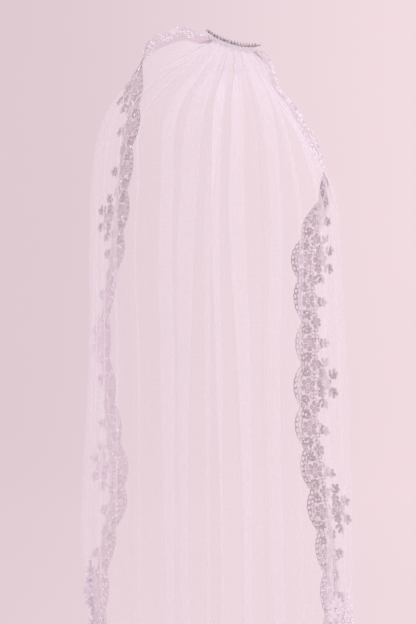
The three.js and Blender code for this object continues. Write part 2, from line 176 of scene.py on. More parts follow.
# Depths below the comb at which a fold's five x values are given
FOLD_HEIGHTS = (10, 83, 203, 433, 803)
FOLDS = (
    Fold(comb=-27, shoulder=-111, chest=-133, waist=-132, hem=-133, rise=5, lean=1.3),
    Fold(comb=-24, shoulder=-97, chest=-113, waist=-111, hem=-109, rise=-4, lean=1.2),
    Fold(comb=-21, shoulder=-82, chest=-95, waist=-91, hem=-87, rise=8, lean=1.9),
    Fold(comb=-17, shoulder=-67, chest=-81, waist=-81, hem=-77, rise=-6, lean=1.7),
    Fold(comb=-14, shoulder=-53, chest=-67, waist=-71, hem=-66, rise=8, lean=2.1),
    Fold(comb=-10, shoulder=-41, chest=-55, waist=-58, hem=-55, rise=-6, lean=1.8),
    Fold(comb=-7, shoulder=-29, chest=-43, waist=-45, hem=-44, rise=8, lean=1.7),
    Fold(comb=-4, shoulder=-17, chest=-25, waist=-24, hem=-22, rise=-7, lean=0.6),
    Fold(comb=0, shoulder=-6, chest=-8, waist=-3, hem=0, rise=9, lean=-1.8),
    Fold(comb=3, shoulder=5, chest=4, waist=11, hem=17, rise=-6, lean=-1.5),
    Fold(comb=7, shoulder=16, chest=16, waist=25, hem=33, rise=9, lean=-1.9),
    Fold(comb=10, shoulder=25, chest=31, waist=35, hem=43, rise=-7, lean=-0.6),
    Fold(comb=13, shoulder=34, chest=46, waist=46, hem=54, rise=8, lean=1.7),
    Fold(comb=17, shoulder=42, chest=59, waist=58, hem=67, rise=-7, lean=1.6),
    Fold(comb=20, shoulder=50, chest=73, waist=72, hem=81, rise=9, lean=1.0),
    Fold(comb=24, shoulder=60, chest=89, waist=93, hem=101, rise=-5, lean=0.5),
    Fold(comb=27, shoulder=70, chest=105, waist=115, hem=121, rise=6, lean=0.8),
)

MAIN_FLOWER = FlowerSize(radius=10.5, petals=6)
CUSP_FLOWER = FlowerSize(radius=7.5, petals=5)
SIDE_FLOWER = FlowerSize(radius=6.0, petals=5)
CLIMBING_FLOWER = FlowerSize(radius=7.5, petals=6)
BORDER_SPRIGS = SprigPair(across=11.0, up=-4.0, turn=math.pi / 2, length=8.5, bend=0.3)
SPRAY_SPRIGS = (SprigPair(across=9.0, up=6.0, turn=0.6, length=10.0, bend=0.4),
                SprigPair(across=20.0, up=-4.0, turn=1.4, length=9.0, bend=0.5))
CLIMBING_SPRIGS = SprigPair(across=6.0, up=5.0, turn=0.9, length=8.0, bend=0.4)
# Small rings beside each main flower, out from its middle and in from the edge
RING_PLACES = ((14.0, 29.0), (18.5, 33.0), (9.0, 34.0), (4.0, 39.0))
CORNER_SPRAYS = (
    ClimbingSpray(run=108.0, top=132.0),
    ClimbingSpray(run=-138.0, top=84.0),
    ClimbingSpray(run=-92.0, top=90.0),
)


def smoothstep(value: np.ndarray | float, low: float, high: float) -> np.ndarray | float:
    """Rise from 0 at low to 1 at high, level at both ends."""
    share = np.clip((value - low) / (high - low), 0.0, 1.0)
    return share * share * (3.0 - 2.0 * share)


def catmull_rom(points: np.ndarray, params: np.ndarray) -> np.ndarray:
    """Points of the centripetal curve through a row of points.

    Args:
        points: The points that the curve runs through, one a row.
        params: Places on the curve, from 0 at its first point to 1 at its last.

    Returns:
        One point a row for each place.
    """
    padded = np.vstack([2 * points[0] - points[1], points, 2 * points[-1] - points[-2]])
    place = np.clip(params, 0.0, 1.0) * (len(points) - 1)
    start = np.minimum(place.astype(int), len(points) - 2)
    share = (place - start)[:, None]
    before, here, after, beyond = (padded[start + offset] for offset in range(4))
    gaps = [np.maximum(np.linalg.norm(b - a, axis=1), 1e-6)[:, None] ** 0.5
            for a, b in ((before, here), (here, after), (after, beyond))]
    leave = ((here - before) / gaps[0] - (after - before) / (gaps[0] + gaps[1]) + (after - here) / gaps[1])
    arrive = ((after - here) / gaps[1] - (beyond - here) / (gaps[1] + gaps[2]) + (beyond - after) / gaps[2])
    leave, arrive = leave * gaps[1], arrive * gaps[1]
    cubic = 2 * here - 2 * after + leave + arrive
    square = -3 * here + 3 * after - 2 * leave - arrive
    return here + leave * share + square * share ** 2 + cubic * share ** 3


def smooth_table(place: float, stops: tuple[float, ...], values: np.ndarray) -> np.ndarray:
    """One row of values between a table's rows, without corners at its stops.

    Args:
        place: Where the row is wanted; beyond the table its end rows hold.
        stops: The places of the table's rows, rising.
        values: The table, one row for each stop.

    Returns:
        The row of values.
    """
    place = min(max(place, stops[0]), stops[-1])
    after = min(max(int(np.searchsorted(stops, place)), 1), len(stops) - 1)
    gap = stops[after] - stops[after - 1]
    share = (place - stops[after - 1]) / gap
    slopes = np.gradient(values, np.array(stops, float), axis=0) * gap
    start, end = values[after - 1], values[after]
    leave, arrive = slopes[after - 1], slopes[after]
    square = 3 * (end - start) - 2 * leave - arrive
    cubic = 2 * (start - end) + leave + arrive
    return start + leave * share + square * share ** 2 + cubic * share ** 3


def comb_curve(shares: np.ndarray) -> np.ndarray:
    """Points on the comb's spine.

    Args:
        shares: Places on the spine, as shares of its length.

    Returns:
        One point a row for each place.
    """
    dense = catmull_rom(np.array(COMB_SPINE, float), np.linspace(0, 1, SPINE_POINTS))
    steps = np.linalg.norm(np.diff(dense, axis=0), axis=1)
    length = np.concatenate([[0.0], np.cumsum(steps)])
    return np.column_stack([np.interp(shares * length[-1], length, dense[:, axis]) for axis in range(3)])


def outward_of(tangents: np.ndarray) -> np.ndarray:
    """Level unit directions that leave the cloth on its outer side, for lines that run these ways."""
    out = np.column_stack([tangents[:, 1], -tangents[:, 0], np.zeros(len(tangents))])
    return out / np.maximum(np.linalg.norm(out, axis=1), 1e-9)[:, None]


def normalised(vectors: np.ndarray) -> np.ndarray:
    """The vectors on the last axis, at unit length."""
    return vectors / np.maximum(np.linalg.norm(vectors, axis=-1, keepdims=True), 1e-9)


def full_turn(count: int) -> np.ndarray:
    """The angles of a whole turn in even steps, without its end."""
    return np.linspace(0, 2 * math.pi, count + 1)[:-1]


class Waves:
    """Seeded slow noise over the cloth, as a sum of a few sine waves."""

    def __init__(self, seed: int, count: int = 6) -> None:
        """Draw the waves' directions and starts.

        Args:
            seed: What the draws start from.
            count: How many waves are added up.
        """
        draw = np.random.default_rng(seed)
        self.ways = draw.normal(size=(count, 2))
        self.starts = draw.uniform(0, 2 * math.pi, count)

    def at(self, across: np.ndarray, down: np.ndarray) -> np.ndarray:
        """Noise from about -1 to 1 at places given in wavelengths."""
        total = sum(np.sin(way[0] * across + way[1] * down + start)
                    for way, start in zip(self.ways, self.starts))
        return total / math.sqrt(len(self.starts) * 2.0)


# The form of the drape

@dataclass
class DrapeForm:
    """The hanging sheet as a fine grid, in millimetres.

    Rows run from the comb to the hem, and columns from the back edge to the front edge.
    """

    rows_per_section: int = 16
    hem_rows: int = 8
    edge_columns: int = 20
    return_columns: int = 12
    fold_columns: int = 16
    corner_columns: int = 10
    curve_steps: int = 420
    wave_points: int = 201
    edge_zone: float = 50.0
    # An edge zone keeps to this share of the way to its silhouette fold
    zone_share: float = 0.8
    fold_turn: float = 1.28
    fold_wander: float = 0.45
    fold_wander_step: float = 1.9
    fold_wander_depth: float = 190.0
    fold_share_at_comb: float = 0.22
    full_fold_depth: float = 90.0
    gather_count: int = 37
    gather_lean: float = 1.3
    gather_drift: float = 2.2
    # A gather's height at the comb, what it gains just below, what it loses further down, and its least
    gather_height: float = 1.3
    gather_gain: float = 1.6
    gather_loss: float = 2.3
    gather_least: float = 0.55
    side_fold_count: int = 26
    side_fold_drift: float = 1.5
    side_fold_height: float = 2.6
    sway: float = 2.4
    # Small folds fade in between these shares of the way from a free edge
    fade_from: float = 0.02
    fade_to: float = 0.09
    most_bunched: float = 6.0
    least_facing: float = 0.3
    facing_power: float = 0.6
    points: np.ndarray = field(init=False)
    normals: np.ndarray = field(init=False)
    fullness: np.ndarray = field(init=False)
    across: np.ndarray = field(init=False)
    down: np.ndarray = field(init=False)

    def __post_init__(self) -> None:
        """Work out the whole grid once."""
        self._lay_out_columns()
        lines = self._lines()
        rows = [self._row(points) for points in lines]
        self.points = np.array([row[0] for row in rows])
        overall = np.array([row[1] for row in rows])
        self._add_small_folds(overall)
        tangent_across = np.gradient(self.points, axis=1)
        tangent_down = np.gradient(self.points, axis=0)
        self.normals = normalised(-np.cross(tangent_across, tangent_down))
        steps_across = np.linalg.norm(np.diff(self.points, axis=1), axis=2)
        self.across = np.concatenate([np.zeros((len(rows), 1)), np.cumsum(steps_across, axis=1)], axis=1)
        widths = self.across[:, -1]
        facing = np.abs(np.sum(self.normals * overall, axis=2))
        bunched = np.clip(widths.max() / widths, 1.0, self.most_bunched)[:, None]
        self.fullness = bunched / np.clip(facing, self.least_facing, 1.0) ** self.facing_power
        steps_down = np.linalg.norm(np.diff(self.points, axis=0), axis=2)
        self.down = np.concatenate([np.zeros((1, len(steps_down[0]))), np.cumsum(steps_down, axis=0)], axis=0)

    @property
    def size(self) -> tuple[int, int]:
        """Rows and columns of the grid."""
        return self.points.shape[0], self.points.shape[1]

    def _lay_out_columns(self) -> None:
        """Name each column's interval between two stops, and its share of the way across it."""
        counts = [self.edge_columns, self.return_columns,
                  *[self.corner_columns] * (len(REAR_CORNER) + 1),
                  *[self.fold_columns] * (len(FOLDS) - 1),
                  *[self.corner_columns] * (len(FORE_CORNER) + 1),
                  self.return_columns, self.edge_columns]
        intervals = [interval for interval, count in enumerate(counts) for _ in range(count)]
        shares = [step / count for count in counts for step in range(count)]
        self.column_interval = np.array(intervals + [len(counts) - 1])
        self.column_share = np.array(shares + [1.0])
        self.is_fold = (self.column_interval > 1) & (self.column_interval < len(counts) - 2)
        self.is_long_fold = ((self.column_interval > len(REAR_CORNER) + 2)
                             & (self.column_interval < len(REAR_CORNER) + len(FOLDS) + 1))
        even = np.linspace(0, 1, self.wave_points)
        turn = self.fold_turn * np.sin(np.pi * even)
        along = np.concatenate([[0.0], np.cumsum(np.cos((turn[1:] + turn[:-1]) / 2))])
        out = np.concatenate([[0.0], np.cumsum(np.sin((turn[1:] + turn[:-1]) / 2))])
        wave_along = np.interp(self.column_share, even, along / along[-1])
        wave_out = np.interp(self.column_share, even, out / out[-1])
        eased = (1 - np.cos(np.pi * self.column_share)) / 2
        self.share_along = np.where(self.is_fold, wave_along, self.column_share)
        self.share_out = np.where(self.is_fold, wave_out, eased)

    def _lines(self) -> np.ndarray:
        """Lay the seven lines that each row's curve runs through.

        Returns:
            The seven points of every row.
        """
        shares = np.array(LINES_ALONG_COMB)
        ahead = comb_curve(shares + 0.01) - comb_curve(shares - 0.01)
        comb = comb_curve(shares) + outward_of(ahead) * CLOTH_BEFORE_HEADING
        comb[:, 2] -= HEADING_DROP + CLOTH_BELOW_HEADING
        levels = np.array([comb] + [self._section_points(section) for section in SECTIONS])
        count = (len(levels) - 1) * self.rows_per_section + 1
        places = np.linspace(0, 1, count)
        lines = np.stack([catmull_rom(levels[:, line], places) for line in range(len(shares))], axis=1)
        hem = np.repeat(lines[-1:], self.hem_rows, axis=0)
        hem[:, :, 2] = np.linspace(HEM_TOP, HEM_BOTTOM, self.hem_rows + 1)[1:, None]
        return np.concatenate([lines, hem])

    @staticmethod
    def _section_points(section: Section) -> np.ndarray:
        """Place the seven points of one section.

        Args:
            section: The level's sizes.

        Returns:
            The points, from the back edge round to the front edge.
        """
        middle = (section.left + section.right) / 2
        half = (section.right - section.left) / 2

        def on_side(turn: float, side_z: float) -> tuple[float, float, float]:
            """Find a point on the rounded near side.

            Args:
                turn: Its place, from 0 at the front silhouette fold to pi at the back one.
                side_z: The height of the silhouette fold on its own side.

            Returns:
                The point.
            """
            out = math.sin(turn) ** SIDE_ROUNDNESS
            across = math.copysign(abs(math.cos(turn)) ** SIDE_ROUNDNESS, math.cos(turn))
            return (middle + half * across,
                    section.fold_y + (section.near_y - section.fold_y) * out,
                    side_z + (section.near - side_z) * out)

        return np.array([
            section.back_edge,
            (section.left, section.fold_y, section.left_z),
            on_side(math.pi * 0.75, section.left_z),
            on_side(math.pi * 0.5, section.left_z),
            on_side(math.pi * 0.25, section.right_z),
            (section.right, section.fold_y, section.right_z),
            section.front_edge,
        ], float)

    def _row(self, points: np.ndarray) -> tuple[np.ndarray, np.ndarray]:
        """One row of the grid.

        Args:
            points: The seven points of this row's curve.

        Returns:
            The row's points with its long folds, and the outward direction of the plain curve at each.
        """
        dense = catmull_rom(points, np.linspace(0, 1, self.curve_steps + 1))
        span = self.curve_steps // (len(points) - 1)
        between_folds = slice(span, self.curve_steps - span + 1)
        lengths = np.concatenate([[0.0], np.cumsum(np.linalg.norm(np.diff(dense, axis=0), axis=1))])
        total, back_fold, front_fold = lengths[-1], lengths[span], lengths[-1 - span]
        depth = -points[3, 2]
        table = np.array([(f.comb, f.shoulder, f.chest, f.waist, f.hem) for f in FOLDS], float).T
        places = smooth_table(depth, FOLD_HEIGHTS, table)
        fold_stops = np.interp(places, dense[between_folds, 0], lengths[between_folds])
        back_zone = min(self.edge_zone, self.zone_share * back_fold)
        front_zone = min(self.edge_zone, self.zone_share * (total - front_fold))
        reach = min(LACE_REACH, back_zone / 3)
        rear = [back_fold + (fold_stops[0] - back_fold) * fold.share for fold in REAR_CORNER]
        fore = [fold_stops[-1] + (front_fold - fold_stops[-1]) * fold.share for fold in FORE_CORNER]
        stops = np.array([-reach, back_zone, back_fold, *rear, *fold_stops, *fore,
                          front_fold, total - front_zone, total + reach])
        folds = (*REAR_CORNER, *FOLDS, *FORE_CORNER)
        number = np.arange(len(folds), dtype=float)
        wander = Waves(SEED + 5).at(number * self.fold_wander_step,
                                    np.full(len(folds), depth / self.fold_wander_depth))
        rises = np.array([0, 0, 0, *(fold.rise for fold in folds), 0, 0, 0], float)
        leans = np.array([0, 0, 0, *(fold.lean for fold in folds), 0, 0, 0], float)
        leans[3:-3] *= 1 + self.fold_wander * wander
        first = self.column_interval
        distance = stops[first] + (stops[first + 1] - stops[first]) * self.share_along
        grown = smoothstep(depth, 0.0, self.full_fold_depth)
        fold_share = self.fold_share_at_comb + (1 - self.fold_share_at_comb) * grown
        rise = fold_share * (rises[first] + (rises[first + 1] - rises[first]) * self.share_out)
        lean = rise * (leans[first] + (leans[first + 1] - leans[first]) * self.share_out)
        inside = np.clip(distance, 0, total)
        row = np.column_stack([np.interp(inside, lengths, dense[:, axis]) for axis in range(3)])
        tangents = normalised(np.gradient(dense, axis=0))
        tangent = np.column_stack([np.interp(inside, lengths, tangents[:, axis]) for axis in range(3)])
        outward = outward_of(tangent)
        row += outward * rise[:, None] + tangent * (lean + distance - inside)[:, None]
        return row, outward

    def _add_small_folds(self, outward: np.ndarray) -> None:
        """Add the fine gathers that leave the comb, and the soft folds of the two sides.

        Args:
            outward: The outward direction at each of the grid's points.
        """
        rows, columns = self.size
        depth = -self.points[:, columns // 2, 2][:, None]
        share = np.linspace(0, 1, columns)[None, :]
        drift = Waves(SEED).at(share * 9, depth / 160)
        gather = np.sin(2 * np.pi * self.gather_count * share + self.gather_drift * drift)
        height = (self.gather_height + self.gather_gain * smoothstep(depth, 8, 50)
                  - self.gather_loss * smoothstep(depth, 70, 260))
        unevenness = 0.65 + 0.5 * Waves(SEED + 1).at(share * 24, depth / 120)
        edge_fade = (smoothstep(share, self.fade_from, self.fade_to)
                     * smoothstep(1 - share, self.fade_from, self.fade_to))
        small = gather * np.maximum(height, self.gather_least) * unevenness * edge_fade
        on_side = (1 - self.is_long_fold)[None, :]
        side_drift = Waves(SEED + 2).at(share * 7, depth / 300)
        soft = np.sin(2 * np.pi * share * self.side_fold_count + self.side_fold_drift * side_drift)
        soft = soft * self.side_fold_height * smoothstep(depth, 60, 260) * on_side * edge_fade
        sway = self.sway * Waves(SEED + 3).at(share * 12, depth / 210) * smoothstep(depth, 60, 300)
        sideways = normalised(np.gradient(self.points, axis=1))
        self.points = self.points + outward * (small + soft + sway)[:, :, None]
        self.points += sideways * (small * self.gather_lean)[:, :, None]

    def sample(self, rows: np.ndarray, columns: np.ndarray, what: np.ndarray) -> np.ndarray:
        """Values of a grid between its rows and columns.

        Args:
            rows: Row places, which may lie between two rows.
            columns: Column places, as many as rows.
            what: The grid of values, such as points or normals.

        Returns:
            One value for each place.
        """
        last_row, last_column = what.shape[0] - 1, what.shape[1] - 1
        rows, columns = np.clip(rows, 0, last_row - 1e-6), np.clip(columns, 0, last_column - 1e-6)
        row, column = rows.astype(int), columns.astype(int)
        down, right = rows - row, columns - column
        if what.ndim == 3:
            down, right = down[..., None], right[..., None]
        top = what[row, column] * (1 - right) + what[row, column + 1] * right
        bottom = what[row + 1, column] * (1 - right) + what[row + 1, column + 1] * right
        return top * (1 - down) + bottom * down


# Lace drawn flat and laid on the drape

class Edge(Enum):
    """Which edge of the veil a stretch of lace runs along."""

    BACK = "back"
    FRONT = "front"
    HEM = "hem"


@dataclass
class EdgeMap:
    """Turns places on a flat strip of lace into places on the drape.

    A flat place is a run along the edge and a reach in from it, both in millimetres.
    """

    form: DrapeForm
    edge: Edge
    deepest: float = 160.0
    scallop_depth: float = 11.0
    scallop_target: float = 57.0

    def __post_init__(self) -> None:
        """Measure the edge and tabulate how far in each column or row lies."""
        form = self.form
        rows, columns = form.size
        self.reaches = np.arange(0.0, self.deepest + 1.0)
        if self.edge is Edge.HEM:
            self.runs = form.across[-1]
            middle = columns // 2
            from_hem = form.down[-1, middle] - form.down[:, middle]
            self.row_of_reach = np.interp(self.reaches, from_hem[::-1], np.arange(rows)[::-1].astype(float))
        else:
            self.runs = form.down[:, 0 if self.edge is Edge.BACK else columns - 1]
            full = form.edge_zone + LACE_REACH
            table = []
            for row in range(rows):
                across = form.across[row]
                inward = across if self.edge is Edge.BACK else across[-1] - across[::-1]
                shrink = min(1.0, inward[form.edge_columns] / full)
                table.append(np.interp(self.reaches * shrink, inward, np.arange(columns).astype(float)))
            self.column_of_reach = np.array(table)
        self.length = float(self.runs[-1])
        self.scallops = round(self.length / self.scallop_target)
        self.period = self.length / self.scallops

    def scallop_inset(self, run: np.ndarray) -> np.ndarray:
        """How far in the scalloped edge lies at each run: nothing at a lobe's middle, all at the cusps."""
        phase = (run / self.period) % 1.0 - 0.5
        return self.scallop_depth * (1 - np.cos(math.pi * phase))

    def grid_places(self, run: np.ndarray, reach: np.ndarray) -> tuple[np.ndarray, np.ndarray]:
        """Find flat places on the drape's grid.

        Args:
            run: Places along the edge.
            reach: Places in from it, as many as runs.

        Returns:
            Row places and column places.
        """
        if self.edge is Edge.HEM:
            columns = np.interp(run, self.runs, np.arange(len(self.runs)))
            rows = np.interp(reach, self.reaches, self.row_of_reach)
            return rows, columns
        rows = np.interp(run, self.runs, np.arange(len(self.runs)))
        columns = self.form.sample(rows, reach, self.column_of_reach)
        if self.edge is Edge.FRONT:
            columns = self.form.size[1] - 1 - columns
        return rows, columns

    def place(self, run: np.ndarray, reach: np.ndarray, lift: np.ndarray | float) -> np.ndarray:
        """Find the drape's points at flat places.

        Args:
            run: Places along the edge.
            reach: Places in from it, as many as runs.
            lift: How far the points stand off the cloth, in millimetres.

        Returns:
            The points, in metres.
        """
        rows, columns = self.grid_places(run, reach)
        points = self.form.sample(rows, columns, self.form.points)
        normals = normalised(self.form.sample(rows, columns, self.form.normals))
        lifts = np.broadcast_to(np.asarray(lift, float), run.shape)
        return (points + normals * lifts[..., None]) * MM


@dataclass
class MeshParts:
    """Points and faces that grow piece by piece into one mesh, with a material number for each face."""

    points: list[np.ndarray] = field(default_factory=list)
    faces: list[np.ndarray] = field(default_factory=list)
    slots: list[np.ndarray] = field(default_factory=list)
    count: int = 0

    def add(self, points: np.ndarray, faces: np.ndarray, slot: int | np.ndarray = 0) -> None:
        """Add a part whose faces have four corners each.

        Args:
            points: Its points, in metres.
            faces: Its faces, as numbers of its own points.
            slot: One material slot, or one for each face.
        """
        self.points.append(points)
        self.faces.append(faces + self.count)
        self.slots.append(np.broadcast_to(slot, len(faces)))
        self.count += len(points)

    def make(self, name: str, materials: list[bpy.types.Material]) -> bpy.types.Object:
        """Make the object, smooth shaded.

        Args:
            name: The object's name.
            materials: Its materials, in the order of their slots.

        Returns:
            The object, linked into the scene.
        """
        points = np.concatenate(self.points)
        faces = np.concatenate(self.faces)
        mesh = bpy.data.meshes.new(name)
        mesh.from_pydata(points.tolist(), [], faces.tolist())
        mesh.polygons.foreach_set("material_index", np.concatenate(self.slots))
        mesh.polygons.foreach_set("use_smooth", np.ones(len(faces), bool))
        mesh.update()
        for material in materials:
            mesh.materials.append(material)
        made = bpy.data.objects.new(name, mesh)
        bpy.context.scene.collection.objects.link(made)
        return made


def strip_faces(rings: int, sides: int, closed_around: bool, closed_along: bool = False) -> np.ndarray:
    """Four-cornered faces that join rings of points.

    Args:
        rings: How many rings there are.
        sides: How many points each ring has.
        closed_around: Whether a ring's last point joins its first.
        closed_along: Whether the last ring joins the first.

    Returns:
        One face a row, as point numbers.
    """
    ring = np.arange(rings if closed_along else rings - 1)[:, None]
    side = np.arange(sides if closed_around else sides - 1)[None, :]
    next_ring, next_side = (ring + 1) % rings, (side + 1) % sides
    corners = [ring * sides + side, ring * sides + next_side, next_ring * sides + next_side,
               next_ring * sides + side]
    return np.stack([np.broadcast_to(c, (len(ring), side.shape[1])) for c in corners], axis=-1).reshape(-1, 4)


# A cord's section: each corner across the cord and up from the cloth, as shares of half its width
CORD_SECTION = ((-1.0, 0.0), (0.0, 0.9), (1.0, 0.0), (0.0, -0.7))


@dataclass
class LacePen:
    """Draws cords and filled cloth of lace on a flat strip, and lays them on the drape."""

    edge_map: EdgeMap
    parts: MeshParts = field(default_factory=MeshParts)
    cord_slot: int = 0
    cloth_slot: int = 1
    cord_reverse_slot: int = 2
    cloth_reverse_slot: int = 3
    cord_end: float = 0.35
    cloth_lift: float = 0.25
    cloth_rim: float = 0.3

    def cord(self, line: np.ndarray, width: float, closed: bool = False) -> None:
        """Lay a raised cord along a flat line.

        Args:
            line: Flat places, as run and reach, one a row.
            width: The cord's width in millimetres.
            closed: Whether its end joins its start.
        """
        if closed:
            ahead = np.roll(line, -1, axis=0) - np.roll(line, 1, axis=0)
        else:
            ahead = np.gradient(line, axis=0)
        ahead = normalised(ahead)
        sideways = np.column_stack([-ahead[:, 1], ahead[:, 0]])
        half = np.full(len(line), width / 2)
        if not closed:
            half[[0, -1]] *= self.cord_end
        rings = [self.edge_map.place(line[:, 0] + sideways[:, 0] * half * out,
                                     line[:, 1] + sideways[:, 1] * half * out, half * up)
                 for out, up in CORD_SECTION]
        points = np.stack(rings, axis=1).reshape(-1, 3)
        faces = strip_faces(len(line), len(CORD_SECTION), True, closed)
        # The two lower sides face the reverse; their slot carries the lace's painted shade
        is_reverse = np.arange(len(faces)) % len(CORD_SECTION) > 1
        self.parts.add(points, faces, np.where(is_reverse, self.cord_reverse_slot, self.cord_slot))

    def cloth(self, left: np.ndarray, right: np.ndarray) -> None:
        """Fill the flat space between two lines with stitched cloth, crowned along its middle.

        Args:
            left: Flat places of one side, one a row.
            right: Flat places of the other side, as many.
        """
        shares = np.array([0.0, 0.5, 1.0])
        # The lower layer faces the reverse; its slot carries the lace's painted shade
        for side, slot in ((1, self.cloth_slot), (-1, self.cloth_reverse_slot)):
            rings = [self.edge_map.place(*(left * (1 - share) + right * share).T,
                                         side * self.cloth_lift
                                         * (self.cloth_rim + math.sin(math.pi * share)))
                     for share in shares]
            points = np.stack(rings, axis=1).reshape(-1, 3)
            self.parts.add(points, strip_faces(len(left), len(shares), False), slot)


def turned(line: np.ndarray, angle: float, centre: FlatPlace) -> np.ndarray:
    """A flat line turned and moved to its place."""
    cos, sin = math.cos(angle), math.sin(angle)
    return line @ np.array([[cos, sin], [-sin, cos]]) + np.array(centre)


@dataclass
class LaceMotifs:
    """The flowers, sprigs, rings and tendrils that the border is made of."""

    pen: LacePen
    cord_width: float = 1.5
    fine_width: float = 1.05
    oval_points: int = 10
    # A petal no longer than this is drawn with fewer points
    small_petal: float = 5.2
    small_petal_steps: int = 5
    petal_steps: int = 7
    petal_start: float = 0.34
    petal_fullness: float = 0.6
    petal_foot: float = 0.5
    petal_swell: float = 0.7
    heart_share: float = 0.17
    leaf_share: float = 0.78
    leaf_half_share: float = 0.2
    leaf_start: float = 1.0
    leaf_spread: float = 0.95
    leaf_joints: tuple[int, int] = (1, 4)
    stem_points: int = 6
    tendril_points: int = 9
    tendril_tightening: float = 1.5
    tendril_ring: float = 1.5

    def ring(self, centre: FlatPlace, radius: float) -> None:
        """One small closed loop of fine cord."""
        self.oval(centre, 0.0, (radius, radius), self.fine_width)

    def oval(self, centre: FlatPlace, angle: float, radii: tuple[float, float], width: float) -> None:
        """One closed oval loop of cord.

        Args:
            centre: Its middle.
            angle: The way that its first radius points.
            radii: Its two radii.
            width: The cord's width.
        """
        turn = full_turn(self.oval_points)
        line = np.column_stack([np.cos(turn) * radii[0], np.sin(turn) * radii[1]])
        self.pen.cord(turned(line, angle, centre), width, closed=True)

    def petal(self, centre: FlatPlace, angle: float, start: float, stop: float, half_width: float) -> None:
        """One petal or leaf: a rounded loop of cord with cloth inside.

        Args:
            centre: The flower's centre, or the leaf's joint.
            angle: The way that it points.
            start: Where it begins, out from the centre.
            stop: Where it ends.
            half_width: About half its width at its fullest.
        """
        is_small = stop - start <= self.small_petal
        way = np.linspace(0, math.pi, self.small_petal_steps if is_small else self.petal_steps)
        along = start + (stop - start) * (1 - np.cos(way)) / 2
        wide = half_width * np.sin(way) * (self.petal_foot + self.petal_swell * (1 - np.cos(way)) / 2)
        left, right = np.column_stack([along, wide]), np.column_stack([along, -wide])
        outline = np.vstack([left[:-1], right[:0:-1]])
        self.pen.cord(turned(outline, angle, centre), self.fine_width, closed=True)
        self.pen.cloth(turned(left, angle, centre), turned(right, angle, centre))

    def flower(self, centre: FlatPlace, size: FlowerSize, angle: float) -> None:
        """A round flower: filled petals round an open heart.

        Args:
            centre: Its middle.
            size: Its radius and number of petals.
            angle: How far it is turned.
        """
        spread = math.pi / size.petals
        for petal in range(size.petals):
            self.petal(centre, angle + petal * 2 * spread, size.radius * self.petal_start, size.radius,
                       size.radius * spread * self.petal_fullness)
        self.ring(centre, size.radius * self.heart_share)

    def sprig(self, base: FlatPlace, angle: float, length: float, bend: float) -> None:
        """A curved stem with two pairs of long leaves and one at its tip.

        Args:
            base: Where the stem starts.
            angle: The way that it starts.
            length: The stem's length.
            bend: How far it turns along its length.
        """
        turn = bend * np.linspace(0, 1, self.stem_points)
        laid = turned(self._stem(turn, length), angle, base)
        self.pen.cord(laid, self.fine_width)
        long, half = length * self.leaf_share, length * self.leaf_half_share
        for joint in self.leaf_joints:
            for side in (-1, 1):
                way = angle + turn[joint] + side * self.leaf_spread
                self.petal(tuple(laid[joint]), way, self.leaf_start, long, half)
        self.petal(tuple(laid[-1]), angle + turn[-1], 0.0, long, half)

    def sprig_of_pair(self, pair: SprigPair, side: int, place: FlatPlace, sway: float = 0.0) -> None:
        """One sprig of a mirrored pair.

        Args:
            pair: The pair's sizes.
            side: -1 or 1, for the side of the flower that it stands on.
            place: The flower's middle.
            sway: How much further the sprig is turned.
        """
        base = (place[0] + side * pair.across, place[1] + pair.up)
        self.sprig(base, math.pi / 2 - side * pair.turn + sway, pair.length, side * pair.bend)

    def tendril(self, base: FlatPlace, angle: float, length: float, curl: float) -> None:
        """A curling stem that ends in a small ring.

        Args:
            base: Where the stem starts.
            angle: The way that it starts.
            length: The stem's length.
            curl: How far it turns along its length, more and more tightly.
        """
        turn = curl * np.linspace(0, 1, self.tendril_points) ** self.tendril_tightening
        laid = turned(self._stem(turn, length), angle, base)
        self.pen.cord(laid, self.fine_width)
        self.ring(tuple(laid[-1]), self.tendril_ring)

    @staticmethod
    def _stem(turn: np.ndarray, length: float) -> np.ndarray:
        """A flat line that starts at zero and turns as it goes.

        Args:
            turn: The way that it points at each of its points.
            length: Its length.

        Returns:
            Its flat places, one a row.
        """
        step = length / (len(turn) - 1)
        line = np.cumsum(np.column_stack([np.cos(turn), np.sin(turn)]) * step, axis=0)
        return line - line[0]


# Finishes

def hex_linear(code: str) -> tuple[float, float, float, float]:
    """Turn an sRGB hex colour to linear light.

    Args:
        code: Six hex digits, for red, green and blue.

    Returns:
        Linear red, green and blue, and full alpha.
    """
    channels = [int(code[start:start + 2], 16) / 255 for start in (0, 2, 4)]
    linear = [c / 12.92 if c <= 0.04045 else ((c + 0.055) / 1.055) ** 2.4 for c in channels]
    return (*linear, 1.0)


def add_node(tree: bpy.types.NodeTree, kind: str, inputs: dict | None = None, **settings) -> bpy.types.Node:
    """Add one node with its settings, and set or link its inputs.

    Args:
        tree: The node tree that it goes into.
        kind: Blender's name for the node.
        inputs: A value for each input to set, or an output socket to link to it, by name or number.
        settings: The node's own settings.

    Returns:
        The node.
    """
    node = tree.nodes.new(kind)
    for name, value in settings.items():
        setattr(node, name, value)
    for key, value in (inputs or {}).items():
        if isinstance(value, bpy.types.NodeSocket):
            tree.links.new(value, node.inputs[key])
        else:
            node.inputs[key].default_value = value
    return node


def new_material(name: str) -> tuple[bpy.types.Material, bpy.types.NodeTree]:
    """Start a material.

    Args:
        name: Its name.

    Returns:
        The material and its empty node tree.
    """
    material = bpy.data.materials.new(name)
    material.use_nodes = True
    material.node_tree.nodes.clear()
    return material, material.node_tree


def band_scale(spacing_mm: float) -> float:
    """The wave texture's scale that lays its bands this far apart; it has 20 / (2 pi) bands to a unit."""
    return math.pi / 10 / (spacing_mm * MM)


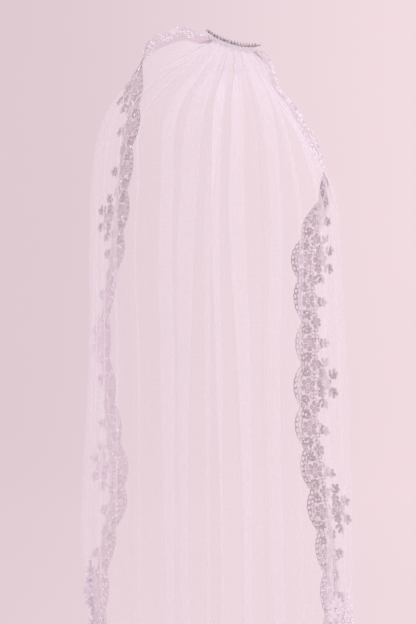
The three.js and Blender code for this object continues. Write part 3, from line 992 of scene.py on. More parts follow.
@dataclass(frozen=True)
class BridalTulle:
    """Nylon tulle, a fine hexagonal net, dyed ivory white.

    Its thread is matt and thin, so it reads as a soft haze.
    """

    colour: str = "f4f0f6"
    lace_ground_colour: str = "d6cad1"
    roughness: float = 0.75
    sheen: float = 0.35
    cover: float = 0.115
    lace_ground_cover: float = 0.21
    # How many more layers of net the eye meets where a fold turns edge on
    rim_layers: float = 3.2
    # Real holes are about 0.8 mm; they are drawn at 1.6 mm so that some of the net still shows
    hole_mm: float = 1.6
    # How far the knitted holes are from even, as the Voronoi texture counts it
    unevenness: float = 0.35
    rim_blend: float = 0.28
    passes_light: float = 0.4

    def make(self) -> bpy.types.Material:
        """Build the material from the cloth's own flat coordinates and its fullness.

        Returns:
            The material.
        """
        material, tree = new_material("woven_nylon_tulle")
        cloth = add_node(tree, "ShaderNodeAttribute", attribute_name="cloth_mm")
        fullness = add_node(tree, "ShaderNodeAttribute", attribute_name="fullness")
        ground = add_node(tree, "ShaderNodeAttribute", attribute_name="lace_ground")
        net = add_node(tree, "ShaderNodeTexVoronoi",
                       {"Vector": cloth.outputs["Vector"], "Scale": 1 / self.hole_mm,
                        "Randomness": self.unevenness},
                       voronoi_dimensions="2D", feature="DISTANCE_TO_EDGE")
        thread = add_node(tree, "ShaderNodeMapRange",
                          {"Value": net.outputs["Distance"], "From Min": 0.03, "From Max": 0.16,
                           "To Min": 1.9, "To Max": 0.6})
        cover = add_node(tree, "ShaderNodeMapRange",
                         {"Value": ground.outputs["Fac"], "To Min": self.cover,
                          "To Max": self.lace_ground_cover})
        threads = add_node(tree, "ShaderNodeMath", {0: cover.outputs[0], 1: thread.outputs[0]},
                           operation="MULTIPLY", use_clamp=True)
        clear = add_node(tree, "ShaderNodeMath", {0: 1.0, 1: threads.outputs[0]}, operation="SUBTRACT")
        rim = add_node(tree, "ShaderNodeLayerWeight", {"Blend": self.rim_blend})
        layers = add_node(tree, "ShaderNodeMath",
                          {0: rim.outputs["Facing"], 1: self.rim_layers, 2: fullness.outputs["Fac"]},
                          operation="MULTIPLY_ADD")
        seen_through = add_node(tree, "ShaderNodeMath", {0: clear.outputs[0], 1: layers.outputs[0]},
                                operation="POWER")
        alpha = add_node(tree, "ShaderNodeMath", {0: 1.0, 1: seen_through.outputs[0]},
                         operation="SUBTRACT", use_clamp=True)
        tone = add_node(tree, "ShaderNodeMix",
                        {0: ground.outputs["Fac"], 6: hex_linear(self.colour),
                         7: hex_linear(self.lace_ground_colour)}, data_type="RGBA")
        surface = add_node(tree, "ShaderNodeBsdfPrincipled",
                           {"Base Color": tone.outputs[2], "Roughness": self.roughness,
                            "Sheen Weight": self.sheen, "Specular IOR Level": 0.3})
        through = add_node(tree, "ShaderNodeBsdfTranslucent", {"Color": tone.outputs[2]})
        thread_light = add_node(tree, "ShaderNodeMixShader",
                                {0: self.passes_light, 1: surface.outputs[0], 2: through.outputs[0]})
        hole = add_node(tree, "ShaderNodeBsdfTransparent")
        mixed = add_node(tree, "ShaderNodeMixShader",
                         {0: alpha.outputs[0], 1: hole.outputs[0], 2: thread_light.outputs[0]})
        add_node(tree, "ShaderNodeOutputMaterial", {"Surface": mixed.outputs[0]})
        return material


@dataclass(frozen=True)
class SatinCord:
    """Rayon cord couched along the lace. Its long smooth fibres give a bright, silky edge."""

    colour: str = "fbf7fd"
    shade: str = "cfc1ce"
    roughness: float = 0.34
    # The bands of the twist lie on the diagonal, where they come out 15 % wider than this
    twist_mm: float = 0.9
    patch_mm: float = 11.0

    def make(self) -> bpy.types.Material:
        """Build the material with a fine twist along the cord.

        Returns:
            The material.
        """
        material, tree = new_material("twisted_rayon_cord")
        place = add_node(tree, "ShaderNodeTexCoord")
        twist = add_node(tree, "ShaderNodeTexWave",
                         {"Vector": place.outputs["Object"], "Scale": band_scale(self.twist_mm),
                          "Distortion": 2.0, "Detail": 1.0}, bands_direction="DIAGONAL")
        patch = add_node(tree, "ShaderNodeTexNoise", {"Vector": place.outputs["Object"],
                                                      "Scale": 1 / (self.patch_mm * MM)})
        tone = add_node(tree, "ShaderNodeMix",
                        {0: patch.outputs["Fac"], 6: hex_linear(self.shade), 7: hex_linear(self.colour)},
                        data_type="RGBA")
        gloss = add_node(tree, "ShaderNodeMapRange",
                         {"Value": twist.outputs["Fac"], "To Min": self.roughness,
                          "To Max": self.roughness + 0.2})
        bump = add_node(tree, "ShaderNodeBump", {"Height": twist.outputs["Fac"], "Strength": 0.35,
                                                 "Distance": 0.15 * MM})
        surface = add_node(tree, "ShaderNodeBsdfPrincipled",
                           {"Base Color": tone.outputs[2], "Roughness": gloss.outputs[0],
                            "Normal": bump.outputs[0], "Sheen Weight": 0.3, "Specular IOR Level": 0.5})
        add_node(tree, "ShaderNodeOutputMaterial", {"Surface": surface.outputs[0]})
        return material


@dataclass(frozen=True)
class StitchedCloth:
    """Close satin stitch that fills petals and leaves. Its rows of thread let a little light through."""

    colour: str = "f2eaf2"
    roughness: float = 0.55
    # Stitches lie 0.5 mm apart; they are drawn at 1.2 mm so that they show
    stitch_mm: float = 1.2
    cover: float = 0.72

    def make(self) -> bpy.types.Material:
        """Build the material with rows of stitches and small gaps between them.

        Returns:
            The material.
        """
        material, tree = new_material("satin_stitched_rayon")
        place = add_node(tree, "ShaderNodeTexCoord")
        rows = add_node(tree, "ShaderNodeTexWave",
                        {"Vector": place.outputs["Object"], "Scale": band_scale(self.stitch_mm),
                         "Distortion": 1.0}, bands_direction="Z")
        alpha = add_node(tree, "ShaderNodeMapRange",
                         {"Value": rows.outputs["Fac"], "To Min": self.cover - 0.35, "To Max": 0.95})
        bump = add_node(tree, "ShaderNodeBump", {"Height": rows.outputs["Fac"], "Strength": 0.5,
                                                 "Distance": 0.2 * MM})
        surface = add_node(tree, "ShaderNodeBsdfPrincipled",
                           {"Base Color": hex_linear(self.colour), "Roughness": self.roughness,
                            "Normal": bump.outputs[0], "Alpha": alpha.outputs[0], "Sheen Weight": 0.3})
        add_node(tree, "ShaderNodeOutputMaterial", {"Surface": surface.outputs[0]})
        return material


@dataclass(frozen=True)
class ReversePaintedShade:
    """Reverse of the lace, matt and greyer than the satin face: its colour is painted shade."""

    colour: str = "b8a5ab"
    shade: str = "9c8a92"
    paler_painted_shade: str = "dacbd3"
    # The painted shade lightens between these two heights, in metres; the comb is at 0
    painted_shade_fades_from: float = -0.2
    painted_shade_fades_to: float = -0.36
    roughness: float = 0.8
    cover: float = 0.9
    patch_mm: float = 9.0

    def make(self, name: str) -> bpy.types.Material:
        """Build the material in two uneven tones of painted shade, paler low down.

        Args:
            name: The material's name.

        Returns:
            The material.
        """
        material, tree = new_material(name)
        place = add_node(tree, "ShaderNodeTexCoord")
        patch = add_node(tree, "ShaderNodeTexNoise", {"Vector": place.outputs["Object"],
                                                      "Scale": 1 / (self.patch_mm * MM), "Detail": 3.0})
        amount = add_node(tree, "ShaderNodeMapRange",
                          {"Value": patch.outputs["Fac"], "From Min": 0.35, "From Max": 0.65})
        tone = add_node(tree, "ShaderNodeMix",
                        {0: amount.outputs[0], 6: hex_linear(self.shade), 7: hex_linear(self.colour)},
                        data_type="RGBA")
        axes = add_node(tree, "ShaderNodeSeparateXYZ", {0: place.outputs["Object"]})
        # Painted shade: darker high up, fading to the paler tone below
        shade_fading = add_node(tree, "ShaderNodeMapRange",
                         {"Value": axes.outputs["Z"], "From Min": self.painted_shade_fades_from, "From Max": self.painted_shade_fades_to},
                         interpolation_type="SMOOTHSTEP")
        thread = add_node(tree, "ShaderNodeMix",
                          {0: shade_fading.outputs[0], 6: tone.outputs[2], 7: hex_linear(self.paler_painted_shade)},
                          data_type="RGBA")
        surface = add_node(tree, "ShaderNodeBsdfPrincipled",
                           {"Base Color": thread.outputs[2], "Roughness": self.roughness, "Alpha": self.cover,
                            "Specular IOR Level": 0.2})
        add_node(tree, "ShaderNodeOutputMaterial", {"Surface": surface.outputs[0]})
        return material


@dataclass(frozen=True)
class PearlSequin:
    """Moulded PET sequins and cut glass beads with a clear film, which catch the light as small sparks."""

    colour: str = "fbf7fd"
    roughness: float = 0.12
    patch_mm: float = 2.5

    def make(self) -> bpy.types.Material:
        """Build the material with a slightly uneven gloss.

        Returns:
            The material.
        """
        material, tree = new_material("clear_coated_glass_bead")
        place = add_node(tree, "ShaderNodeTexCoord")
        patch = add_node(tree, "ShaderNodeTexNoise", {"Vector": place.outputs["Object"],
                                                      "Scale": 1 / (self.patch_mm * MM)})
        gloss = add_node(tree, "ShaderNodeMapRange",
                         {"Value": patch.outputs["Fac"], "To Min": self.roughness,
                          "To Max": self.roughness + 0.15})
        surface = add_node(tree, "ShaderNodeBsdfPrincipled",
                           {"Base Color": hex_linear(self.colour), "Roughness": gloss.outputs[0],
                            "IOR": 1.57, "Coat Weight": 0.8, "Coat Roughness": 0.05})
        add_node(tree, "ShaderNodeOutputMaterial", {"Surface": surface.outputs[0]})
        return material


@dataclass(frozen=True)
class DarkSilverWire:
    """Drawn steel wire, plated dark silver and a little tarnished, with fine draw marks."""

    colour: str = "c9c2c6"
    tarnish: str = "7d747a"
    roughness: float = 0.3
    tarnish_mm: float = 4.0

    def make(self) -> bpy.types.Material:
        """Build the material with tarnish in uneven patches.

        Returns:
            The material.
        """
        material, tree = new_material("drawn_plated_steel_wire")
        place = add_node(tree, "ShaderNodeTexCoord")
        patch = add_node(tree, "ShaderNodeTexNoise", {"Vector": place.outputs["Object"],
                                                      "Scale": 1 / (self.tarnish_mm * MM), "Detail": 4.0})
        amount = add_node(tree, "ShaderNodeMapRange",
                          {"Value": patch.outputs["Fac"], "From Min": 0.35, "From Max": 0.65})
        tone = add_node(tree, "ShaderNodeMix",
                        {0: amount.outputs[0], 6: hex_linear(self.colour), 7: hex_linear(self.tarnish)},
                        data_type="RGBA")
        gloss = add_node(tree, "ShaderNodeMapRange",
                         {"Value": patch.outputs["Fac"], "To Min": self.roughness - 0.08,
                          "To Max": self.roughness + 0.22})
        surface = add_node(tree, "ShaderNodeBsdfPrincipled",
                           {"Base Color": tone.outputs[2], "Metallic": 1.0, "Roughness": gloss.outputs[0]})
        add_node(tree, "ShaderNodeOutputMaterial", {"Surface": surface.outputs[0]})
        return material


@dataclass(frozen=True)
class PalePinkCove:
    """Matt studio cove in pale pink paint, with painted light: lighter towards the wearer's front as if lit
    from that side, and whiter on the camera's side as a painted front fill.
    """

    painted_shade_side: str = "dccad1"
    painted_light_side: str = "eddbe0"
    painted_fill_colour: str = "f4eef0"
    glow: float = 0.82
    paint_depth: float = 0.75
    half_width: float = 1.1
    patch_m: float = 5 / 3
    unevenness: float = 0.16
    camera_side_from: float = -1.0
    camera_side_to: float = -5.0

    def make(self) -> bpy.types.Material:
        """Build the material, lit softly by itself so that the cove stays even.

        Returns:
            The material.
        """
        material, tree = new_material("matt_painted_cove")
        place = add_node(tree, "ShaderNodeTexCoord")
        axes = add_node(tree, "ShaderNodeSeparateXYZ", {0: place.outputs["Object"]})
        # Painted light: lighter towards +x, as if the light fell from that side
        side = add_node(tree, "ShaderNodeMapRange",
                        {"Value": axes.outputs["X"], "From Min": -self.half_width,
                         "From Max": self.half_width},
                        interpolation_type="SMOOTHSTEP")
        patch = add_node(tree, "ShaderNodeTexNoise", {"Vector": place.outputs["Object"],
                                                      "Scale": 1 / self.patch_m})
        uneven = add_node(tree, "ShaderNodeMath",
                          {0: patch.outputs["Fac"], 1: self.unevenness, 2: -self.unevenness / 2},
                          operation="MULTIPLY_ADD")
        amount = add_node(tree, "ShaderNodeMath", {0: side.outputs[0], 1: uneven.outputs[0]},
                          operation="ADD", use_clamp=True)
        tone = add_node(tree, "ShaderNodeMix",
                        {0: amount.outputs[0], 6: hex_linear(self.painted_shade_side), 7: hex_linear(self.painted_light_side)},
                        data_type="RGBA")
        # Painted light: whiter towards the camera's side, a painted front fill
        towards = add_node(tree, "ShaderNodeMapRange",
                           {"Value": axes.outputs["Y"], "From Min": self.camera_side_from,
                            "From Max": self.camera_side_to},
                           interpolation_type="SMOOTHSTEP")
        whole = add_node(tree, "ShaderNodeMix",
                         {0: towards.outputs[0], 6: tone.outputs[2], 7: hex_linear(self.painted_fill_colour)},
                         data_type="RGBA")
        paint = add_node(tree, "ShaderNodeMix",
                         {0: self.paint_depth, 6: whole.outputs[2], 7: (0.0, 0.0, 0.0, 1.0)},
                         data_type="RGBA")
        surface = add_node(tree, "ShaderNodeBsdfPrincipled",
                           {"Base Color": paint.outputs[2], "Roughness": 0.9, "Specular IOR Level": 0.1,
                            "Emission Color": whole.outputs[2], "Emission Strength": self.glow})
        add_node(tree, "ShaderNodeOutputMaterial", {"Surface": surface.outputs[0]})
        return material


# Sub-assemblies of the veil

def ride_and_slot(piece: bpy.types.Object) -> None:
    """Let a piece go with the veil's one body."""
    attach(piece, BODY)


def store_values(piece: bpy.types.Object, name: str, values: np.ndarray) -> None:
    """Keep one number for each of a piece's points, for its finish."""
    layer = piece.data.attributes.new(name, "FLOAT", "POINT")
    layer.data.foreach_set("value", values.astype(np.float32))


def store_cloth_places(piece: bpy.types.Object, places: np.ndarray) -> None:
    """Keep where each of a piece's points lies on the flat cloth, in millimetres."""
    layer = piece.data.attributes.new("cloth_mm", "FLOAT_VECTOR", "POINT")
    layer.data.foreach_set("vector", places.ravel())


@dataclass
class TulleSheet:
    """The sheer sheet: one layer of net, cut along the scalloped border and gathered on the comb."""

    form: DrapeForm
    back: EdgeMap
    front: EdgeMap
    hem: EdgeMap
    finish: BridalTulle = field(default_factory=BridalTulle)
    ground_width: float = 38.0
    ground_fade: float = 4.0
    # The hem's cut is eased in over this many times the hem's own rows
    hem_easing: int = 3

    def build(self) -> bpy.types.Object:
        """Make the sheet and dress it.

        Returns:
            The sheet.
        """
        rows, columns = self.form.size
        row_place, column_place = np.meshgrid(np.arange(rows, dtype=float),
                                              np.arange(columns, dtype=float), indexing="ij")
        self._cut_scallops(row_place, column_place)
        flat = (row_place.ravel(), column_place.ravel())
        parts = MeshParts()
        parts.add(self.form.sample(*flat, self.form.points) * MM, strip_faces(rows, columns, False))
        sheet = parts.make("tulle_sheet", [self.finish.make()])
        store_values(sheet, "fullness", self.form.sample(*flat, self.form.fullness))
        store_values(sheet, "lace_ground", self._lace_ground(row_place, column_place).ravel())
        widest = self.form.across[-1]
        cloth = np.column_stack([np.interp(flat[1], np.arange(columns), widest),
                                 np.interp(flat[0], np.arange(rows), self.form.down[:, columns // 2]),
                                 np.zeros(len(flat[0]))])
        store_cloth_places(sheet, cloth)
        ride_and_slot(sheet)
        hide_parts(*TULLE_RUNS)
        return sheet

    def _cut_scallops(self, row_place: np.ndarray, column_place: np.ndarray) -> None:
        """Move the outermost rows and columns in to the scalloped edges.

        Args:
            row_place: Each point's row place, which is changed.
            column_place: Each point's column place, which is changed.
        """
        rows, columns = self.form.size
        edge = self.form.edge_columns
        for edge_map, is_back in ((self.back, True), (self.front, False)):
            inset = edge_map.scallop_inset(edge_map.runs)
            _, cut = edge_map.grid_places(edge_map.runs, inset)
            share = np.arange(edge + 1) / edge
            if is_back:
                column_place[:, :edge + 1] = cut[:, None] * (1 - share) + edge * share
            else:
                inner = columns - 1 - edge
                column_place[:, inner:] = inner * (1 - share) + cut[:, None] * share
        inset = self.hem.scallop_inset(self.hem.runs)
        cut, _ = self.hem.grid_places(self.hem.runs, inset)
        deep = self.hem_easing * self.form.hem_rows
        top = rows - 1 - deep
        share = np.arange(deep + 1)[:, None] / deep
        row_place[top:, :] = top * (1 - share) + cut[None, :] * share

    def _lace_ground(self, row_place: np.ndarray, column_place: np.ndarray) -> np.ndarray:
        """Find where the border's closer ground net lies.

        Args:
            row_place: Each point's row place.
            column_place: Each point's column place.

        Returns:
            The closer net's share at each point.
        """
        rows, columns = self.form.size
        row = row_place.astype(int).clip(0, rows - 1)
        column = column_place.astype(int).clip(0, columns - 1)
        from_back = self.form.across[row, column]
        inward = np.minimum(from_back, self.form.across[row, -1] - from_back)
        up = self.form.down[-1, columns // 2] - self.form.down[row, columns // 2]
        nearest = np.minimum(inward, up)
        return 1 - smoothstep(nearest, self.ground_width - self.ground_fade, self.ground_width)


@dataclass
class LaceBorder:
    """The scalloped lace along one edge: cords over stitched cloth.

    It has a looped edging, flowers, leaves, rings and tendrils. Sizes are in millimetres.
    """

    edge_map: EdgeMap
    node: str
    materials: list[bpy.types.Material]
    start: float = 0.0
    stop: float = 0.0
    edging_step: float = 0.8
    loop_step: float = 8.2
    loop_radii: tuple[float, float] = (4.4, 2.9)
    second_radius: float = 2.2
    inner_gap: float = 0.8
    main_reach: float = 23.0
    cusp_reach: float = 33.0
    top_reach: float = 37.0
    top_length: float = 9.0
    ring_radius: float = 2.7
    # Every third repeat grows a spray into the tulle
    spray_every: int = 3
    spray_phase: int = 2
    spray_base: float = 36.0
    spray_stem: float = 12.0
    spray_top: float = 48.0
    spray_side: float = 14.0
    spray_drop: float = 3.0
    tall_sprays: tuple[ClimbingSpray, ...] = ()
    climb_start: float = 48.0
    climb_step: float = 14.0
    climb_sway: float = 5.0
    climb_turn: float = 1.7
    climb_tip: float = 10.0
    climb_beads: int = 10
    beads: list[FlatPlace] = field(default_factory=list)

    def build(self) -> bpy.types.Object:
        """Draw every repeat and make the piece.

        Returns:
            The lace.
        """
        pen = LacePen(self.edge_map)
        motifs = LaceMotifs(pen)
        self._edging(motifs)
        draw = np.random.default_rng(SEED + len(self.node))
        for repeat in range(self.edge_map.scallops):
            middle = (repeat + 0.5) * self.edge_map.period
            if self.start <= middle <= self.edge_map.length - self.stop:
                self._repeat(motifs, middle, repeat, draw)
        for spray in self.tall_sprays:
            self._climb(motifs, spray, draw)
        lace = pen.parts.make(f"{self.node}_lace", self.materials)
        ride_and_slot(lace)
        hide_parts(self.node)
        return lace

    def _edging(self, motifs: LaceMotifs) -> None:
        """The chain of small loops along the scallops, with a cord inside it.

        Args:
            motifs: What draws them.
        """
        run = np.arange(self.start, self.edge_map.length - self.stop, self.edging_step)
        inset = self.edge_map.scallop_inset(run)
        line = np.column_stack([run, inset])
        travelled = np.concatenate([[0.0], np.cumsum(np.linalg.norm(np.diff(line, axis=0), axis=1))])
        slope = np.gradient(inset, run)
        half = self.loop_radii[1]
        row_gap = 2 * half + self.second_radius
        for place in np.arange(self.loop_step / 2, travelled[-1], self.loop_step):
            at_run, at_inset = np.interp(place, travelled, run), np.interp(place, travelled, inset)
            angle = math.atan(np.interp(place, travelled, slope))
            centre = (at_run - math.sin(angle) * half, at_inset + math.cos(angle) * half)
            motifs.oval(centre, angle, self.loop_radii, motifs.cord_width)
            motifs.ring((at_run + self.loop_step / 2, at_inset + row_gap), self.second_radius)
        inner = np.column_stack([run[::3], inset[::3] + row_gap + self.second_radius + self.inner_gap])
        motifs.pen.cord(inner, motifs.fine_width)

    def _repeat(self, motifs: LaceMotifs, middle: float, number: int, draw: np.random.Generator) -> None:
        """One scallop's flowers, leaves and rings.

        Args:
            motifs: What draws them.
            middle: Run of the lobe's middle.
            number: Which repeat it is.
            draw: Seeded small differences, as hand-guided lace has.
        """
        tilt = draw.uniform(-0.3, 0.3)
        main = (middle, self.main_reach)
        motifs.flower(main, MAIN_FLOWER, tilt)
        self.beads.append(main)
        for side in (-1, 1):
            motifs.sprig_of_pair(BORDER_SPRIGS, side, main, side * draw.uniform(-0.1, 0.1))
            for step, reach in RING_PLACES:
                motifs.ring((middle + side * step, reach), self.ring_radius)
        cusp = (middle + self.edge_map.period / 2, self.cusp_reach)
        motifs.flower(cusp, CUSP_FLOWER, tilt + 1.0)
        self.beads.append(cusp)
        if number % self.spray_every == self.spray_phase:
            self._spray(motifs, middle, draw)
        else:
            motifs.sprig((middle, self.top_reach), math.pi / 2 + tilt, self.top_length, tilt)

    def _spray(self, motifs: LaceMotifs, middle: float, draw: np.random.Generator) -> None:
        """A spray that reaches from the border into the plain tulle.

        Args:
            motifs: What draws it.
            middle: Run of the lobe that it grows from.
            draw: Seeded small differences.
        """
        lean = draw.uniform(-8, 8)
        top = self.spray_top + draw.uniform(-2, 3)
        motifs.tendril((middle, self.spray_base), math.pi / 2, self.spray_stem, lean / 10)
        head = (middle + lean, top)
        motifs.flower(head, MAIN_FLOWER, draw.uniform(0, 1))
        self.beads.append(head)
        for side in (-1, 1):
            beside = (middle + lean + side * self.spray_side, top - self.spray_drop)
            motifs.flower(beside, SIDE_FLOWER, draw.uniform(0, 1))
            for pair in SPRAY_SPRIGS:
                motifs.sprig_of_pair(pair, side, head)

    def _climb(self, motifs: LaceMotifs, spray: ClimbingSpray, draw: np.random.Generator) -> None:
        """A tall spray of a lower corner, flower above flower, thick with beads.

        Args:
            motifs: What draws it.
            spray: Its place and height.
            draw: Seeded small differences.
        """
        run = spray.run if spray.run > 0 else self.edge_map.length + spray.run
        for number, reach in enumerate(np.arange(self.climb_start, spray.top, self.climb_step)):
            middle = run + self.climb_sway * math.sin(self.climb_turn * number)
            motifs.flower((middle, reach), CLIMBING_FLOWER, draw.uniform(0, 1))
            for side in (-1, 1):
                motifs.sprig_of_pair(CLIMBING_SPRIGS, side, (middle, reach))
            spread = draw.uniform((-13, -7), (13, 9), (self.climb_beads, 2))
            self.beads += [(middle + across, reach + up) for across, up in spread]
        motifs.sprig((run, spray.top), math.pi / 2, self.climb_tip, BORDER_SPRIGS.bend)


@dataclass
class BeadWork:
    """Small beads and sequins sewn to the lace, thickest in the lower corners."""

    finish: PearlSequin = field(default_factory=PearlSequin)
    radius: float = 1.1
    smallest: float = 0.7
    largest: float = 1.25
    lift: float = 0.9
    strewn_step: float = 3.0
    strewn_from: float = 3.0
    strewn_to: float = 26.0
    corner_height: float = 120.0
    corner_beads: int = 150
    sides: int = 6
    # Heights of a bead's rings of points, as shares of its radius
    rises: tuple[float, ...] = (-0.98, -0.6, 0.0, 0.6, 0.98)

    def build(self, borders: list[LaceBorder]) -> bpy.types.Object:
        """Sew the beads on at the places that the borders kept, and strew more between them.

        Args:
            borders: The three borders, after they are drawn.

        Returns:
            All the beads in one piece.
        """
        parts = MeshParts()
        draw = np.random.default_rng(SEED + 40)
        for border in borders:
            places = np.array(border.beads)
            lifts = np.full(len(places), self.lift)
            strewn = self._scattered(border.edge_map, draw)
            # Every other strewn bead is sewn on the reverse
            lifts = np.concatenate([lifts, np.where(np.arange(len(strewn)) % 2, -self.lift, self.lift)])
            places = np.vstack([places, strewn])
            centres = border.edge_map.place(places[:, 0], places[:, 1], lifts)
            for centre in centres:
                self._bead(parts, centre, self.radius * draw.uniform(self.smallest, self.largest))
        beads = parts.make("lace_beads", [self.finish.make()])
        ride_and_slot(beads)
        return beads

    def _scattered(self, edge_map: EdgeMap, draw: np.random.Generator) -> np.ndarray:
        """Strew beads over a border, more of them towards the lower corners.

        Args:
            edge_map: The border's edge.
            draw: What the places are drawn from.

        Returns:
            Their flat places, one a row.
        """
        count = int(edge_map.length / self.strewn_step)
        run = draw.uniform(0, edge_map.length, count)
        if edge_map.edge is not Edge.HEM:
            low = edge_map.length - draw.uniform(0, self.corner_height, self.corner_beads)
            run = np.concatenate([run, low])
        reach = edge_map.scallop_inset(run) + draw.uniform(self.strewn_from, self.strewn_to, len(run))
        return np.column_stack([run, reach])

    def _bead(self, parts: MeshParts, centre: np.ndarray, radius: float) -> None:
        """Add one round bead of four-cornered faces.

        Args:
            parts: What it is added to.
            centre: Its middle, in metres.
            radius: Its radius, in millimetres.
        """
        turn = full_turn(self.sides)
        rings = []
        for rise in self.rises:
            wide = math.sqrt(1 - rise ** 2)
            rings.append(np.column_stack([np.cos(turn) * wide, np.sin(turn) * wide,
                                          np.full(self.sides, rise)]))
        points = centre + np.concatenate(rings) * radius * MM
        parts.add(points, strip_faces(len(self.rises), self.sides, True))


@dataclass
class GatheredHeading:
    """The tulle's bunched top edge, stitched in close gathers under the comb."""

    # Its colour is greyer than the sheet's: painted shade in the bunched gathers
    finish: BridalTulle = BridalTulle(colour="e9e2e8", cover=0.55, passes_light=0.25)
    steps: int = 420
    sides: int = 14
    gathers: int = 46
    ruffle_depth: float = 0.16
    unevenness: float = 0.05
    start: float = 0.03
    stop: float = 0.95
    half_depth: float = 3.0
    half_height: float = 4.3
    cloth_length: float = 900.0
    mean_fullness: float = 1.4
    fullness_swing: float = 0.7

    def build(self) -> bpy.types.Object:
        """Make the ruffled bunch and dress it.

        Returns:
            The heading.
        """
        share = np.linspace(self.start, self.stop, self.steps)
        spine = comb_curve(share)
        outward = outward_of(np.gradient(spine, axis=0))
        centre = spine - np.array([0.0, 0.0, HEADING_DROP])
        wander = Waves(SEED + 9).at(share * 30, share * 0)
        ruffle = np.sin(2 * math.pi * self.gathers * share + 1.3 * wander)
        ease = np.sin(math.pi * np.linspace(0.12, 0.88, self.steps))
        turn = full_turn(self.sides)
        points = []
        for angle in turn:
            deeper_below = 0.6 - 0.4 * math.sin(angle)
            fullness = 1 + self.ruffle_depth * ruffle * deeper_below + self.unevenness * wander
            out = self.half_depth * fullness * ease * math.cos(angle)
            up = self.half_height * fullness * ease * math.sin(angle)
            points.append(centre + outward * out[:, None] + np.array([0, 0, 1.0]) * up[:, None])
        parts = MeshParts()
        parts.add(np.stack(points, axis=1).reshape(-1, 3) * MM, strip_faces(self.steps, self.sides, True))
        heading = parts.make("heading_gathers", [self.finish.make()])
        cloth = np.column_stack([np.repeat(share * self.cloth_length, self.sides),
                                 np.tile(turn * self.half_depth, self.steps),
                                 np.zeros(len(heading.data.vertices))])
        store_cloth_places(heading, cloth)
        fullness = self.mean_fullness - self.fullness_swing * ruffle
        store_values(heading, "fullness", np.repeat(fullness, self.sides))
        ride_and_slot(heading)
        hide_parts("gathered_heading")
        return heading


@dataclass
class CombWork:
    """The metal comb, which keeps its CAD solid, with its winding wire and the sewing thread."""

    wire: bpy.types.Material
    thread: bpy.types.Material
    turns: int = 30
    steps_per_turn: int = 12
    wind_radius: float = 1.5
    wire_radius: float = 0.22
    tube_sides: int = 5
    stitches: int = 16
    stitch_radius: float = 0.28
    stitch_points: int = 16
    stitch_lean: float = 0.012
    stitch_half_width: float = 3.3
    stitch_overlap: float = 1.8
    stitch_rise: float = 0.5

    def dress(self) -> None:
        """Give the CAD comb its finish."""
        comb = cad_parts["veil_comb"]
        comb.data.materials.clear()
        comb.data.materials.append(self.wire)

    def build_winding(self) -> bpy.types.Object:
        """Wind the fine wire round the spine.

        Returns:
            The winding.
        """
        steps = self.turns * self.steps_per_turn
        share = np.linspace(0.04, 0.94, steps)
        spine = comb_curve(share)
        along = normalised(np.gradient(spine, axis=0))
        side = outward_of(along)
        up = np.cross(side, along)
        angle = np.linspace(0, 2 * math.pi * self.turns, steps)[:, None]
        line = spine + (side * np.cos(angle) + up * np.sin(angle)) * self.wind_radius
        parts = MeshParts()
        self._add_tube(parts, line, self.wire_radius, False)
        winding = parts.make("comb_winding", [self.wire])
        ride_and_slot(winding)
        return winding

    def build_stitches(self) -> bpy.types.Object:
        """Sew the heading to the spine with slanted loops of thread.

        Returns:
            All the stitches in one piece.
        """
        parts = MeshParts()
        for stitch in range(self.stitches):
            share = np.full(2, 0.06 + 0.86 * stitch / (self.stitches - 1))
            share[1] += self.stitch_lean
            spine = comb_curve(share)
            side = outward_of(np.gradient(spine, axis=0))[0]
            turn = full_turn(self.stitch_points)
            slant = spine[1] - spine[0]
            centre = spine[0] - np.array([0, 0, HEADING_DROP / 2 - self.stitch_rise])
            half_height = HEADING_DROP / 2 + self.stitch_overlap
            loop = (centre + side * (np.cos(turn) * self.stitch_half_width)[:, None]
                    + np.array([0, 0, 1.0]) * (np.sin(turn) * half_height)[:, None]
                    + slant * (turn / (2 * math.pi) - 0.5)[:, None])
            self._add_tube(parts, loop, self.stitch_radius, True)
        stitches = parts.make("heading_stitches", [self.thread])
        ride_and_slot(stitches)
        return stitches

    def _add_tube(self, parts: MeshParts, line: np.ndarray, radius: float, closed: bool) -> None:
        """Add a round wire or thread along a line.

        Args:
            parts: What it is added to.
            line: Its middle line, in millimetres.
            radius: Its radius, in millimetres.
            closed: Whether its end joins its start.
        """
        if closed:
            ahead = normalised(np.roll(line, -1, axis=0) - np.roll(line, 1, axis=0))
        else:
            ahead = normalised(np.gradient(line, axis=0))
        # Any direction that the line never runs along gives the section a steady start
        first = normalised(np.cross(ahead, np.array([0.31, 0.17, 0.94])))
        second = np.cross(ahead, first)
        rings = [line + (first * math.cos(angle) + second * math.sin(angle)) * radius
                 for angle in full_turn(self.tube_sides)]
        points = np.stack(rings, axis=1).reshape(-1, 3) * MM
        parts.add(points, strip_faces(len(line), self.tube_sides, True, closed))


# Studio

@dataclass(frozen=True)
class Softbox:
    """A square lamp: its place and side in metres, its power in watts and its colour."""

    name: str
    place: tuple[float, float, float]
    power: float
    size: float
    colour: str


SOFTBOXES = (
    Softbox("key_softbox", place=(1.2, -2.6, 1.5), power=30.0, size=1.4, colour="fffbfd"),
    Softbox("front_softbox", place=(2.6, 0.6, 0.8), power=8.0, size=1.6, colour="fff6f8"),
    Softbox("fill_softbox", place=(-2.2, -1.6, 0.2), power=5.0, size=1.8, colour="f3f0ff"),
    Softbox("sparkle_lamp", place=(0.9, -2.0, 0.9), power=5.0, size=0.25, colour="ffffff"),
)


